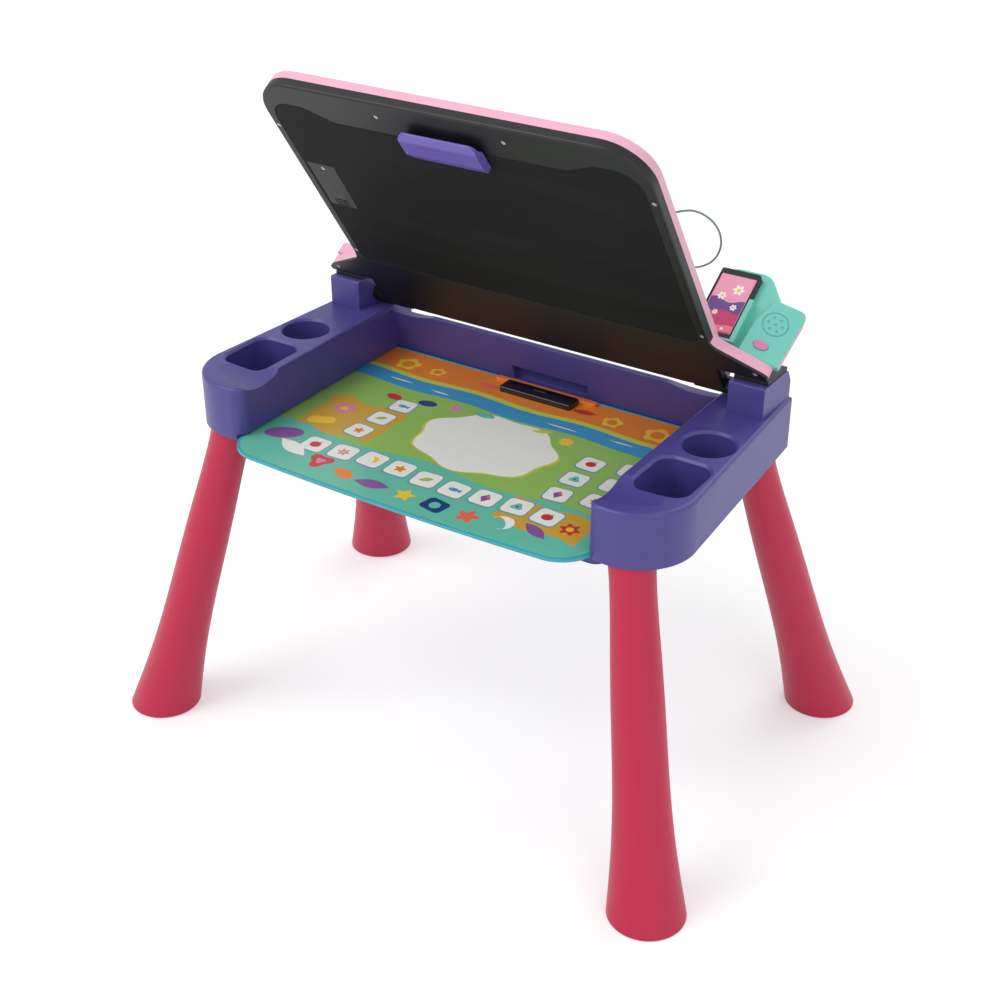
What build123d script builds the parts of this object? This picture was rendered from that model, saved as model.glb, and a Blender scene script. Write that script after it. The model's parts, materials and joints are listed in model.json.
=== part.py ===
from build123d import *
import os
from math import cos, radians, sin, tan

# Children's activity desk: a moulded base on four flared legs, a sliding picture
# board in the bay between two arms, and a hinged lid with a chalkboard below and
# a play console above. Millimetres. X runs across, -Y faces the child, Z is up.
# The origin is on the floor, midway between the feet.

# Base frame
ARM_TOP = 400.0
ARM_DEPTH = 58.0
ARM_BOTTOM = ARM_TOP - ARM_DEPTH
WALL = 3.0
BAY_HALF = 205.0
FRAME_BACK = 142.0
NOSE_Y = -158.0
NOSE_X = 228.0
NOSE_CORNER = 14.0
ARM_WIDE_X = 286.0
ARM_WIDE_Y = -92.0
ARM_BACK_X = 270.0
ARM_EDGE = 4.0
SEAT_GAP = 0.3

# Storage wells in the arm tops
WELL_DEPTH = 44.0
WELL_MOUTH = 2.5
FRONT_WELL_X = 247.0
FRONT_WELL_Y = -72.0
FRONT_WELL_WIDE = 56.0
FRONT_WELL_LONG = 70.0
FRONT_WELL_CORNER = 16.0
REAR_WELL_Y = 3.0
REAR_WELL_R = 26.0

# Finger scoop behind the nose of each arm
SCOOP_DEPTH = 8.0
SCOOP_R = 60.0
SCOOP_Y = -121.0
SCOOP_LEAN = 8.5

# Grooves that carry the picture board
GROOVE_DEEP = 8.0
GROOVE_TALL = 6.0

# Picture board
BOARD_SIDE_GAP = 1.5
BOARD_HALF = BAY_HALF + GROOVE_DEEP - BOARD_SIDE_GAP
BOARD_THICK = 3.0
BOARD_FRONT = -187.0
BOARD_BOW = 4.0
BOARD_CORNER = 40.0
BOARD_BACK = 117.0
BOARD_BOTTOM = ARM_BOTTOM + SEAT_GAP
PAGE_THICK = 0.6
PAGE_MARGIN = 3.0
PAGE_CLIP_WIDE = 90.0
PAGE_CLIP_DEEP = 21.0
PAGE_CLIP_TALL = 6.5
PAGE_CLIP_Y = 92.0
CLIP_BAR_WIDE = 128.0
CLIP_BAR_DEEP = 8.0
CLIP_BAR_TALL = 4.0

# Bay floor
FLOOR_THICK = 2.5
FLOOR_HALF = 216.5
FLOOR_FRONT = -148.0
FLOOR_RIB = 9.0
FLOOR_RIB_THICK = 2.0

# Rear rail between the arms
RAIL_TOP_Y = 103.0
RAIL_CREST = 6.0
RAIL_UNDERCUT = 16.0
RAIL_BACK_TOP = 372.0
RAIL_DIP = 6.0
RAIL_DIP_X = 182.0
RAIL_DIP_R = 105.0
RAIL_SLOT_WIDE = 96.0
RAIL_SLOT_TALL = 18.0
RAIL_SLOT_DEEP = 7.0

# Hinge posts
HINGE_Y = 111.0
HINGE_Z = 410.0
HINGE_LIFT = 9.0
POST_TOP = 433.0
POST_FRONT = 76.0
POST_INNER = 229.0
POST_OUTER = 268.0
POST_EDGE = 2.0
POST_BEVEL = 8.0
POST_BEVEL_DROP = 14.0
CAP_THICK = 4.5
CAP_SETBACK = 9.0
PIN_R = 5.0
RUN_GAP = 0.1
PIN_LONG = 56.0
PIN_BORE_LONG = 22.0
WASHER_THICK = 2.4
WASHER_R = 9.0

# Legs
FOOT_X = 313.0
FOOT_Y = 205.0
FOOT_R = 39.0
LEG_TOP_R = 23.0
LEG_WALL = 3.0
LEG_FLARE = [(0.0, 1.0), (0.08, 0.78), (0.2, 0.5), (0.42, 0.25), (0.7, 0.1), (1.0, 0.0)]
LEG_INSIDE = [(0.02, 0.9), (0.2, 0.5), (0.7, 0.1), (0.97, 0.0)]
FRONT_LEG_X = 240.0
FRONT_LEG_Y = -131.0
REAR_LEG_X = 243.0
REAR_LEG_Y = 113.0
SPIGOT_R = 16.0
SPIGOT_LONG = 28.0
SOCKET_WALL = 3.5
PAD_R = 33.0
PAD_PROUD = 1.0
PAD_SUNK = 1.5

# Lid
LID_OPEN = 56.0
LID_HALF = 214.0
LID_LONG = 360.0
LID_CORNER = 45.0
LID_LOW = -2.0
LID_LOW_HALF = 172.0
PANEL_DEPTH = 10.0
PANEL_EDGE = 2.6
SHELL_DEPTH = 11.0
LID_WALL = 2.5
WING_X = 268.0
WING_ROOT_V = 80.0
WING_TIP_V = 50.0
WING_LOW_V = 42.0
WING_BLACK = 3.0
WING_SUNK = 2.0
WING_TOP = 14.0
KNUCKLE_R = 9.0
KNUCKLE_IN = 178.0
KNUCKLE_OUT = POST_INNER - WASHER_THICK - 2 * SEAT_GAP

# Chalkboard, battery door and paper clip on the dark side
BOARD_RECESS = 1.2
CHALK_THICK = 1.0
CHALK_HALF = 204.0
CHALK_LOW = 82.0
CHALK_TOP = 319.0
CHALK_SHOULDER = 14.0
CHALK_STEP_OUT = 44.0
CHALK_STEP_IN = 76.0
DOOR_X = -184.0
DOOR_V = 211.0
DOOR_WIDE = 34.0
DOOR_LONG = 66.0
DOOR_THICK = 2.2
DOOR_SCREW_IN = 7.0
DOOR_GRIP_IN = 6.0
CELL_R = 7.2
CELL_LONG = 50.0
CLIP_HALF = 43.0
CLIP_LOW_V = 294.0
CLIP_TOP_V = 337.0
CLIP_AXIS_V = 320.0
CLIP_AXIS_OUT = 5.0
CLIP_PIN_R = 1.5
CLIP_WALL = 2.2
EAR_X = 28.0
EAR_WIDE = 4.0
RIB_X = 35.0

# Console, phone and pod on the light side
CONSOLE_LEFT = -150.0
CONSOLE_RIGHT = 172.0
CONSOLE_V = 20.0
CONSOLE_LONG = 72.0
CONSOLE_TALL = 15.0
HUMP_WIDE = 54.0
HUMP_TALL = 48.0
HUMP_LONG = 36.0
SLIDER_X = -60.0
SLIDER_TRAVEL = 12.0
PHONE_WIDE = 43.0
PHONE_TALL = 80.0
PHONE_THICK = 8.0
PHONE_FRONT_V = 62.0
PHONE_RIM = 2.0
PHONE_ENDS = 11.0
PHONE_RECESS = 0.8
CRADLE_THICK = 9.0
CRADLE_GAP = 0.4
CRADLE_WALL = 5.0
CRADLE_TOP_W = 112.0
CRADLE_RIGHT = 250.0
CRADLE_LIP = 2.5
POD_X = 233.0
POD_V = 64.0
POD_TURN = 20.0
POD_WIDE = 46.0
POD_TALL = 68.0
BUTTON_TRAVEL = 2.0
BUTTON_WIDE = 15.0
BUTTON_TALL = 10.0
BUTTON_AT = (19.0, 29.0)
DISC_AT = (23.0, 56.0)
DISC_R = 13.5
POD_SKIN = 7.0
POD_DEEP = 18.0
POD_EDGE = 2.0
STYLUS_X = 166.0
STYLUS_TIP_V = 98.0
STYLUS_TAIL_V = 192.0
STYLUS_W = 31.0
STYLUS_R = 6.0
STYLUS_POINT = 14.0
STYLUS_TAIL = 6.0
HOLDER_BASE = 2.0
TETHER_R = 1.0
GROMMET_X = 162.0
GROMMET_W = 58.0
GROMMET_R = 4.0
GROMMET_LONG = 5.0
DESK_PAGE_HALF = 146.0
DESK_PAGE_LOW = 106.0
DESK_PAGE_TOP = 338.0
DESK_PAGE_THICK = 0.6
DESK_PAGE_SUNK = 0.8
REST_X = 248.0
REST_V = 51.0

# Small parts
BASE_THICK = 3.0
BOSS_R = 4.0
SCREW_HEAD_R = 2.8
SCREW_HEAD_TALL = 1.4
SCREW_R = 1.4
SCREW_LONG = 9.0
SCREW_SLACK = 0.1
SCREW_PROUD = 0.2
CIRCUIT_X = -60.0
CIRCUIT_V = 56.0
CIRCUIT_WIDE = 96.0
CIRCUIT_LONG = 46.0
CIRCUIT_THICK = 1.6

FROM_LOW = (Align.CENTER, Align.MIN)
FROM_CORNER = (Align.MIN, Align.MIN)

os.makedirs("parts", exist_ok=True)

# The lid's own directions: across, along it from the hinge, and up from its dark side
OPEN = radians(LID_OPEN)
ACROSS = Vector(1, 0, 0)
ALONG = Vector(0, -cos(OPEN), sin(OPEN))
UP = Vector(0, sin(OPEN), cos(OPEN))
HINGE = Vector(0, HINGE_Y, HINGE_Z)
UP_AXIS = Axis(tuple(HINGE), tuple(UP))
ALONG_AXIS = Axis(tuple(HINGE), tuple(ALONG))
SHELL_TOP = PANEL_DEPTH + SHELL_DEPTH


def lid_point(x, v, w):
    """Point at x across, v along the lid from the hinge axis, w above its dark face."""
    return HINGE + ACROSS * x + ALONG * v + UP * (w - HINGE_LIFT)


def lid_plane(w):
    """Plane along the lid at height w. Sketches use (x, v) and extrude to the dark side."""
    return Plane(origin=lid_point(0, 0, w), x_dir=ACROSS, z_dir=-UP)


def cross_plane(v):
    """Plane square to the lid at v. Sketches use (x, w) and extrude away from the hinge."""
    return Plane(origin=lid_point(0, v, 0), x_dir=ACROSS, z_dir=ALONG)


def side_plane(x):
    """Plane across the lid at x. Sketches use (v, w) and extrude to the left."""
    return Plane(origin=lid_point(x, 0, 0), x_dir=ALONG, z_dir=-ACROSS)


def save(piece, label):
    """Name a finished piece and write it."""
    piece.label = label
    export_step(piece, f"parts/{label}.step")


def rounded(points, radii):
    """Closed face through the points, with a radius at each one."""
    with BuildSketch() as face:
        with BuildLine():
            FilletPolyline(*points, radius=radii, close=True)
        make_face()
    return face.sketch


def arm_outline():
    """Plan of the right arm, from the rear corner round the nose."""
    with BuildSketch() as plan:
        with BuildLine():
            inner = Line((BAY_HALF, FRAME_BACK), (BAY_HALF, NOSE_Y + NOSE_CORNER))
            corner = TangentArc(inner @ 1, (BAY_HALF + NOSE_CORNER, NOSE_Y), tangent=inner % 1)
            tip = Line(corner @ 1, (NOSE_X, NOSE_Y))
            bend = TangentArc(tip @ 1, (ARM_WIDE_X, ARM_WIDE_Y), tangent=tip % 1)
            outer = Line(bend @ 1, (ARM_BACK_X, FRAME_BACK))
            Line(outer @ 1, inner @ 0)
        make_face()
    return plan.sketch


def well_outlines(grow):
    """The square and the round well of the right arm, grown by a margin."""
    with BuildSketch() as wells:
        with Locations((FRONT_WELL_X, FRONT_WELL_Y)):
            RectangleRounded(FRONT_WELL_WIDE + 2 * grow, FRONT_WELL_LONG + 2 * grow,
                             FRONT_WELL_CORNER + grow)
        with Locations((FRONT_WELL_X, REAR_WELL_Y)):
            Circle(REAR_WELL_R + grow)
    return wells.sketch


def beside_bay(width):
    """Strip over the arm's inner side, as wide as given from the bay."""
    with BuildSketch() as strip:
        with Locations((BAY_HALF + width / 2, 0)):
            Rectangle(width, 4 * FRAME_BACK)
    return strip.sketch


# Arms: hollow mouldings with two wells, a scoop and the groove for the board
SCOOP_REACH = (SCOOP_R**2 - (SCOOP_R - SCOOP_DEPTH) ** 2) ** 0.5
SCOOP_END = SCOOP_Y + SCOOP_REACH + WALL
BOSSES = [(FRONT_WELL_X, FRONT_WELL_Y), (FRONT_WELL_X, REAR_WELL_Y), (FRONT_WELL_X, 56.0)]

with BuildPart() as right_arm:
    with BuildSketch(Plane.XY.offset(ARM_BOTTOM)):
        add(arm_outline())
    extrude(amount=ARM_DEPTH)
    fillet(right_arm.faces().sort_by(Axis.Z)[-1].edges(), ARM_EDGE)
    with BuildSketch(Plane.XY.offset(ARM_BOTTOM)):
        add(arm_outline())
        offset(amount=-WALL)
    extrude(amount=ARM_DEPTH - WALL - SCOOP_DEPTH, mode=Mode.SUBTRACT)
    with BuildSketch(Plane.XY.offset(ARM_BOTTOM)):
        add(arm_outline())
        offset(amount=-WALL)
        with Locations((BAY_HALF, SCOOP_END)):
            Rectangle(2 * BAY_HALF, FRAME_BACK - SCOOP_END, align=FROM_LOW, mode=Mode.INTERSECT)
    extrude(amount=ARM_DEPTH - WALL, mode=Mode.SUBTRACT)
    with BuildSketch(Plane.XY.offset(ARM_BOTTOM)):
        add(arm_outline())
        add(beside_bay(GROOVE_DEEP + WALL), mode=Mode.INTERSECT)
    extrude(amount=GROOVE_TALL + WALL)
    with BuildSketch(Plane.XY.offset(ARM_BOTTOM)):
        add(beside_bay(GROOVE_DEEP))
    extrude(amount=GROOVE_TALL, mode=Mode.SUBTRACT)
    with BuildSketch(Plane.XY.offset(ARM_TOP - WELL_DEPTH - WALL)):
        add(well_outlines(WALL))
    extrude(amount=WELL_DEPTH + WALL / 2)
    with BuildSketch(Plane.XY.offset(ARM_BOTTOM + BASE_THICK)):
        with Locations(BOSSES):
            Circle(BOSS_R)
    extrude(amount=ARM_DEPTH - BASE_THICK - WALL / 2)
    with BuildSketch(Plane.XY.offset(ARM_TOP)):
        add(well_outlines(0))
    extrude(amount=-WELL_DEPTH, mode=Mode.SUBTRACT)
    with BuildSketch(Plane.XY.offset(ARM_TOP)):
        add(well_outlines(WELL_MOUTH))
    extrude(amount=-WELL_MOUTH, taper=45, mode=Mode.SUBTRACT)
    scoop_at = (BAY_HALF, SCOOP_Y, ARM_TOP - SCOOP_DEPTH + SCOOP_R)
    with Locations(Location(scoop_at, (0, 90 - SCOOP_LEAN, 0))):
        Cylinder(SCOOP_R, 2 * BAY_HALF, mode=Mode.SUBTRACT)
    with BuildSketch(Plane.XY.offset(ARM_BOTTOM + BASE_THICK)):
        with Locations(BOSSES):
            Circle(SCREW_R + SCREW_SLACK)
    extrude(amount=SCREW_LONG - BASE_THICK + SCREW_SLACK, mode=Mode.SUBTRACT)
save(right_arm.part, "right_arm")

with BuildPart() as left_arm:
    mirror(right_arm.part, about=Plane.YZ)
save(left_arm.part, "left_arm")

# Bottom covers with the sockets that take the legs
LEG_TOPS = [(FRONT_LEG_X, FRONT_LEG_Y), (REAR_LEG_X, REAR_LEG_Y)]
SOCKET_R = SPIGOT_R + RUN_GAP

with BuildPart() as right_arm_base:
    with BuildSketch(Plane.XY.offset(ARM_BOTTOM)):
        add(arm_outline())
        offset(amount=-WALL - SEAT_GAP)
        add(beside_bay(GROOVE_DEEP + WALL + SEAT_GAP), mode=Mode.SUBTRACT)
    extrude(amount=BASE_THICK)
    with BuildSketch(Plane.XY.offset(ARM_BOTTOM)):
        with Locations(LEG_TOPS):
            Circle(SOCKET_R + SOCKET_WALL)
    extrude(amount=SPIGOT_LONG)
    with BuildSketch(Plane.XY.offset(ARM_BOTTOM)):
        with Locations(LEG_TOPS):
            Circle(SOCKET_R)
    extrude(amount=SPIGOT_LONG, mode=Mode.SUBTRACT)
    with BuildSketch(Plane.XY.offset(ARM_BOTTOM)):
        with Locations(BOSSES):
            Circle(SCREW_R + SCREW_SLACK)
    extrude(amount=BASE_THICK, mode=Mode.SUBTRACT)
    with BuildSketch(Plane.XY.offset(ARM_BOTTOM)):
        with Locations(BOSSES):
            Circle(SCREW_HEAD_R + SCREW_SLACK)
    extrude(amount=SCREW_HEAD_TALL, mode=Mode.SUBTRACT)
save(right_arm_base.part, "right_arm_base")

with BuildPart() as left_arm_base:
    mirror(right_arm_base.part, about=Plane.YZ)
save(left_arm_base.part, "left_arm_base")

with BuildPart() as base_screws:
    with BuildSketch(Plane.XY.offset(ARM_BOTTOM)):
        with Locations(BOSSES):
            Circle(SCREW_HEAD_R)
    extrude(amount=SCREW_HEAD_TALL)
    with BuildSketch(Plane.XY.offset(ARM_BOTTOM)):
        with Locations(BOSSES):
            Circle(SCREW_R)
    extrude(amount=SCREW_LONG)
    mirror(about=Plane.YZ)
save(base_screws.part, "base_screws")

# Bay floor: a pan with a skirt and ribs below
with BuildPart() as tray_floor:
    with BuildSketch(Plane.XY.offset(ARM_BOTTOM)) as floor_plan:
        add(rounded([(-FLOOR_HALF, FLOOR_FRONT), (FLOOR_HALF, FLOOR_FRONT),
                     (FLOOR_HALF, FRAME_BACK), (-FLOOR_HALF, FRAME_BACK)], [12.0, 12.0, 2.0, 2.0]))
    extrude(amount=-FLOOR_THICK)
    with BuildSketch(Plane.XY.offset(ARM_BOTTOM - FLOOR_THICK)):
        add(floor_plan.sketch_local)
        offset(amount=-FLOOR_RIB_THICK, mode=Mode.SUBTRACT)
        with GridLocations(2 * FLOOR_HALF / 5, 0, 4, 1):
            with Locations((0, (FLOOR_FRONT + FRAME_BACK) / 2)):
                Rectangle(FLOOR_RIB_THICK, FRAME_BACK - FLOOR_FRONT - FLOOR_RIB_THICK)
        with Locations((0, (FLOOR_FRONT + FRAME_BACK) / 2)):
            with GridLocations(0, (FRAME_BACK - FLOOR_FRONT) / 4, 1, 3):
                Rectangle(2 * FLOOR_HALF - FLOOR_RIB_THICK, FLOOR_RIB_THICK)
    extrude(amount=-FLOOR_RIB)
save(tray_floor.part, "tray_floor")

# Rear rail: an undercut front, a narrow crest with two dips, and a sloping back
RAIL_FOOT_Y = RAIL_TOP_Y + RAIL_UNDERCUT
RAIL_HOLLOW_TOP = ARM_TOP - RAIL_DIP - WALL
SLOT_HALF = RAIL_SLOT_WIDE / 2


def rail_profile():
    """Section of the rail, as (y, z)."""
    return rounded([(RAIL_FOOT_Y, ARM_BOTTOM), (RAIL_TOP_Y, ARM_TOP),
                    (RAIL_TOP_Y + RAIL_CREST, ARM_TOP), (FRAME_BACK, RAIL_BACK_TOP),
                    (FRAME_BACK, ARM_BOTTOM)], [0.5, 2.0, 2.5, 5.0, 0.5])


with BuildPart() as rear_rail:
    with BuildSketch(Plane.YZ.offset(-BAY_HALF)):
        add(rail_profile())
    extrude(amount=2 * BAY_HALF)
    for start in (-BAY_HALF, SLOT_HALF + WALL):
        with BuildSketch(Plane.YZ.offset(start)):
            add(rail_profile())
            offset(amount=-WALL)
            with Locations((FRAME_BACK, ARM_BOTTOM)):
                Rectangle(2 * FRAME_BACK, 2 * (RAIL_HOLLOW_TOP - ARM_BOTTOM), mode=Mode.INTERSECT)
        extrude(amount=BAY_HALF - SLOT_HALF - WALL, mode=Mode.SUBTRACT)
    for side in (-1, 1):
        dip_at = (side * RAIL_DIP_X, RAIL_TOP_Y, ARM_TOP - RAIL_DIP + RAIL_DIP_R)
        with Locations(Location(dip_at, (90, 0, 0))):
            Cylinder(RAIL_DIP_R, 2 * FRAME_BACK, mode=Mode.SUBTRACT)
    with BuildSketch(Plane.XZ.offset(-RAIL_TOP_Y - RAIL_UNDERCUT - RAIL_SLOT_DEEP)):
        with Locations((0, ARM_BOTTOM + GROOVE_TALL + PAGE_CLIP_TALL)):
            Rectangle(RAIL_SLOT_WIDE, RAIL_SLOT_TALL)
    extrude(amount=RAIL_UNDERCUT + 2 * RAIL_SLOT_DEEP, mode=Mode.SUBTRACT)
save(rear_rail.part, "rear_rail")

# Hinge posts: hollow, with a boss for the pin
POST_BACK = FRAME_BACK - ARM_EDGE
POST_WIDE = POST_OUTER - POST_INNER


def post_profile():
    """Side view of a post, as (y, z)."""
    return rounded([(POST_FRONT, ARM_TOP), (POST_FRONT, POST_TOP),
                    (POST_BACK - POST_BEVEL, POST_TOP), (POST_BACK, POST_TOP - POST_BEVEL_DROP),
                    (POST_BACK, ARM_TOP)], [0.2, POST_EDGE, 6.0, 4.0, 0.2])


with BuildPart() as right_hinge_post:
    with BuildSketch(Plane.YZ.offset(POST_INNER)):
        add(post_profile())
    extrude(amount=POST_WIDE)
    with BuildSketch(Plane.YZ.offset(POST_INNER + WALL)):
        add(post_profile())
        offset(amount=-WALL)
        with Locations((HINGE_Y, ARM_TOP)):
            Rectangle(POST_BACK - POST_FRONT - 2 * WALL, 4 * WALL)
    extrude(amount=POST_WIDE - 2 * WALL, mode=Mode.SUBTRACT)
    with BuildSketch(Plane.YZ.offset(POST_INNER)):
        with Locations((HINGE_Y, HINGE_Z)):
            Circle(WASHER_R)
    extrude(amount=POST_WIDE - WALL / 2)
    with BuildSketch(Plane.YZ.offset(POST_INNER)):
        with Locations((HINGE_Y, HINGE_Z)):
            Circle(PIN_R + RUN_GAP / 2)
    extrude(amount=POST_WIDE - WALL, mode=Mode.SUBTRACT)
save(right_hinge_post.part, "right_hinge_post")

with BuildPart() as left_hinge_post:
    mirror(right_hinge_post.part, about=Plane.YZ)
save(left_hinge_post.part, "left_hinge_post")

with BuildPart() as right_hinge_cap:
    with BuildSketch(Plane.XY.offset(POST_TOP)):
        with Locations(((POST_INNER + POST_OUTER) / 2, POST_FRONT + CAP_SETBACK)):
            Rectangle(POST_WIDE - POST_EDGE, POST_BACK - POST_FRONT - 2 * CAP_SETBACK, align=FROM_LOW)
    extrude(amount=CAP_THICK)
    fillet(right_hinge_cap.faces().sort_by(Axis.Z)[-1].edges(), 1.5)
save(right_hinge_cap.part, "right_hinge_cap")

with BuildPart() as left_hinge_cap:
    mirror(right_hinge_cap.part, about=Plane.YZ)
save(left_hinge_cap.part, "left_hinge_cap")

with BuildPart() as right_hinge_pin:
    with BuildSketch(Plane.YZ.offset(POST_OUTER - WALL - SEAT_GAP)):
        with Locations((HINGE_Y, HINGE_Z)):
            Circle(PIN_R)
    extrude(amount=-PIN_LONG)
    chamfer(right_hinge_pin.faces().sort_by(Axis.X)[0].edges(), 0.8)
save(right_hinge_pin.part, "right_hinge_pin")

with BuildPart() as left_hinge_pin:
    mirror(right_hinge_pin.part, about=Plane.YZ)
save(left_hinge_pin.part, "left_hinge_pin")

with BuildPart() as hinge_washers:
    with BuildSketch(Plane.YZ.offset(KNUCKLE_OUT + SEAT_GAP)):
        with Locations((HINGE_Y, HINGE_Z)):
            Circle(WASHER_R)
            Circle(PIN_R + RUN_GAP / 2, mode=Mode.SUBTRACT)
    extrude(amount=WASHER_THICK)
    mirror(about=Plane.YZ)
save(hinge_washers.part, "hinge_washers")

# Legs: hollow flared horns with a spigot on top, and a pad under each foot

def leg_plane(foot, top, share):
    """Level plane on the leg's centre line at a share of its height."""
    x = foot[0] + (top[0] - foot[0]) * share
    y = foot[1] + (top[1] - foot[1]) * share
    return Plane(origin=(x, y, PAD_PROUD + (ARM_BOTTOM - PAD_PROUD) * share))


def leg_radius(flare):
    """Radius between the leg's top (0) and its foot (1)."""
    return LEG_TOP_R + (FOOT_R - LEG_TOP_R) * flare


for end, foot, top in [("front", (FOOT_X, -FOOT_Y), LEG_TOPS[0]), ("rear", (FOOT_X, FOOT_Y), LEG_TOPS[1])]:
    with BuildPart() as right_leg:
        for share, flare in LEG_FLARE:
            with BuildSketch(leg_plane(foot, top, share)):
                Circle(leg_radius(flare))
        loft()
        with BuildSketch(leg_plane(foot, top, 1.0)):
            Circle(SPIGOT_R)
        extrude(amount=SPIGOT_LONG)
        for share, flare in LEG_INSIDE:
            with BuildSketch(leg_plane(foot, top, share)):
                Circle(leg_radius(flare) - LEG_WALL)
        loft(ruled=True, mode=Mode.SUBTRACT)
        with BuildSketch(leg_plane(foot, top, 1.0)):
            Circle(SPIGOT_R - LEG_WALL)
        extrude(amount=SPIGOT_LONG, both=True, mode=Mode.SUBTRACT)
        with BuildSketch(leg_plane(foot, top, 0.0)):
            Circle(PAD_R)
        extrude(amount=PAD_SUNK, mode=Mode.SUBTRACT)
    save(right_leg.part, f"{end}_right_leg")
    with BuildPart() as left_leg:
        mirror(right_leg.part, about=Plane.YZ)
    save(left_leg.part, f"{end}_left_leg")
    with BuildPart() as right_pad:
        with BuildSketch(Plane.XY):
            with Locations(foot):
                Circle(PAD_R)
        extrude(amount=PAD_PROUD + PAD_SUNK)
    save(right_pad.part, f"{end}_right_foot_pad")
    with BuildPart() as left_pad:
        mirror(right_pad.part, about=Plane.YZ)
    save(left_pad.part, f"{end}_left_foot_pad")

# Picture board that slides in the grooves, with its page, clip and bar
BOARD_TOP = BOARD_BOTTOM + BOARD_THICK


def board_outline():
    """Plan of the board: straight sides, round front corners and a bowed front."""
    with BuildSketch() as plan:
        with BuildLine():
            edge = Line((BOARD_HALF, BOARD_BACK), (BOARD_HALF, BOARD_FRONT + BOARD_BOW + BOARD_CORNER))
            side_end = (BOARD_HALF - BOARD_CORNER, BOARD_FRONT + BOARD_BOW)
            corner = TangentArc(edge @ 1, side_end, tangent=edge % 1)
            bow = ThreePointArc(corner @ 1, (0, BOARD_FRONT), (-side_end[0], side_end[1]))
            other = TangentArc((-BOARD_HALF, (edge @ 1).Y), bow @ 1, tangent=(0, -1))
            far = Line(other @ 0, (-BOARD_HALF, BOARD_BACK))
            Line(far @ 1, edge @ 0)
        make_face()
    return plan.sketch


with BuildPart() as board_tray:
    with BuildSketch(Plane.XY.offset(BOARD_BOTTOM)):
        add(board_outline())
    extrude(amount=BOARD_THICK)
save(board_tray.part, "board_tray")

with BuildPart() as activity_page:
    with BuildSketch(Plane.XY.offset(BOARD_TOP)):
        add(board_outline())
        offset(amount=-PAGE_MARGIN)
    extrude(amount=PAGE_THICK)
save(activity_page.part, "activity_page")

PAGE_TOP = BOARD_TOP + PAGE_THICK

with BuildPart() as page_clip:
    with BuildSketch(Plane.XY.offset(PAGE_TOP)):
        with Locations((0, PAGE_CLIP_Y)):
            RectangleRounded(PAGE_CLIP_WIDE, PAGE_CLIP_DEEP, 3.0)
    extrude(amount=PAGE_CLIP_TALL)
    fillet(page_clip.faces().sort_by(Axis.Z)[-1].edges(), 1.5)
    with BuildSketch(Plane.XY.offset(PAGE_TOP + PAGE_CLIP_TALL)):
        with Locations((0, PAGE_CLIP_Y)):
            SlotOverall(18.0, 5.0)
    extrude(amount=-0.8, mode=Mode.SUBTRACT)
save(page_clip.part, "page_clip")

with BuildPart() as clip_bar:
    with BuildSketch(Plane.XY.offset(PAGE_TOP)):
        with Locations((0, PAGE_CLIP_Y + (PAGE_CLIP_DEEP + CLIP_BAR_DEEP) / 2)):
            RectangleRounded(CLIP_BAR_WIDE, CLIP_BAR_DEEP, 3.0)
    extrude(amount=CLIP_BAR_TALL)
    fillet(clip_bar.faces().sort_by(Axis.Z)[-1].edges(), 1.2)
save(clip_bar.part, "clip_bar")


def lid_outline():
    """Plan of the lid without its wings, as (x, v)."""
    return rounded([(-LID_HALF, LID_LONG), (LID_HALF, LID_LONG), (LID_HALF, KNUCKLE_R / 2),
                    (LID_LOW_HALF, LID_LOW), (-LID_LOW_HALF, LID_LOW), (-LID_HALF, KNUCKLE_R / 2)],
                   [LID_CORNER, LID_CORNER, 3.0, 6.0, 6.0, 3.0])


def wing_outline(side):
    """Plan of one wing, which starts inside the lid's side wall."""
    with BuildSketch() as plan:
        with BuildLine():
            FilletPolyline((LID_HALF - WING_SUNK, WING_ROOT_V + 14), (LID_HALF + 1, WING_ROOT_V - 1),
                           (WING_X - 5, WING_TIP_V + 2), (WING_X, WING_TIP_V - 2), (WING_X, WING_LOW_V),
                           (LID_HALF - WING_SUNK, WING_LOW_V), radius=[14.0, 4.0, 3.0, 3.0])
            Line((LID_HALF - WING_SUNK, WING_LOW_V), (LID_HALF - WING_SUNK, WING_ROOT_V + 14))
        make_face()
        if side < 0:
            mirror(about=Plane.YZ, mode=Mode.REPLACE)
    return plan.sketch


def chalk_outline(grow):
    """Plan of the chalkboard, with a shoulder at each top corner."""
    half = CHALK_HALF + grow
    top = CHALK_TOP + grow
    with BuildSketch() as plan:
        add(rounded([(-half, CHALK_LOW - grow), (half, CHALK_LOW - grow), (half, top + CHALK_SHOULDER),
                     (half - CHALK_STEP_OUT, top + CHALK_SHOULDER), (half - CHALK_STEP_IN, top),
                     (CHALK_STEP_IN - half, top), (CHALK_STEP_OUT - half, top + CHALK_SHOULDER),
                     (-half, top + CHALK_SHOULDER)],
                    [12.0, 12.0, 26.0, 18.0, 18.0, 18.0, 18.0, 26.0]))
    return plan.sketch


PANEL_FLOOR = BOARD_RECESS + LID_WALL
LID_SCREWS = [(209.0, 296.0), (209.0, 96.0), (256.0, 50.0), (70.0, 340.0)]
LID_SCREWS = LID_SCREWS + [(-x, v) for x, v in LID_SCREWS]

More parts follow.
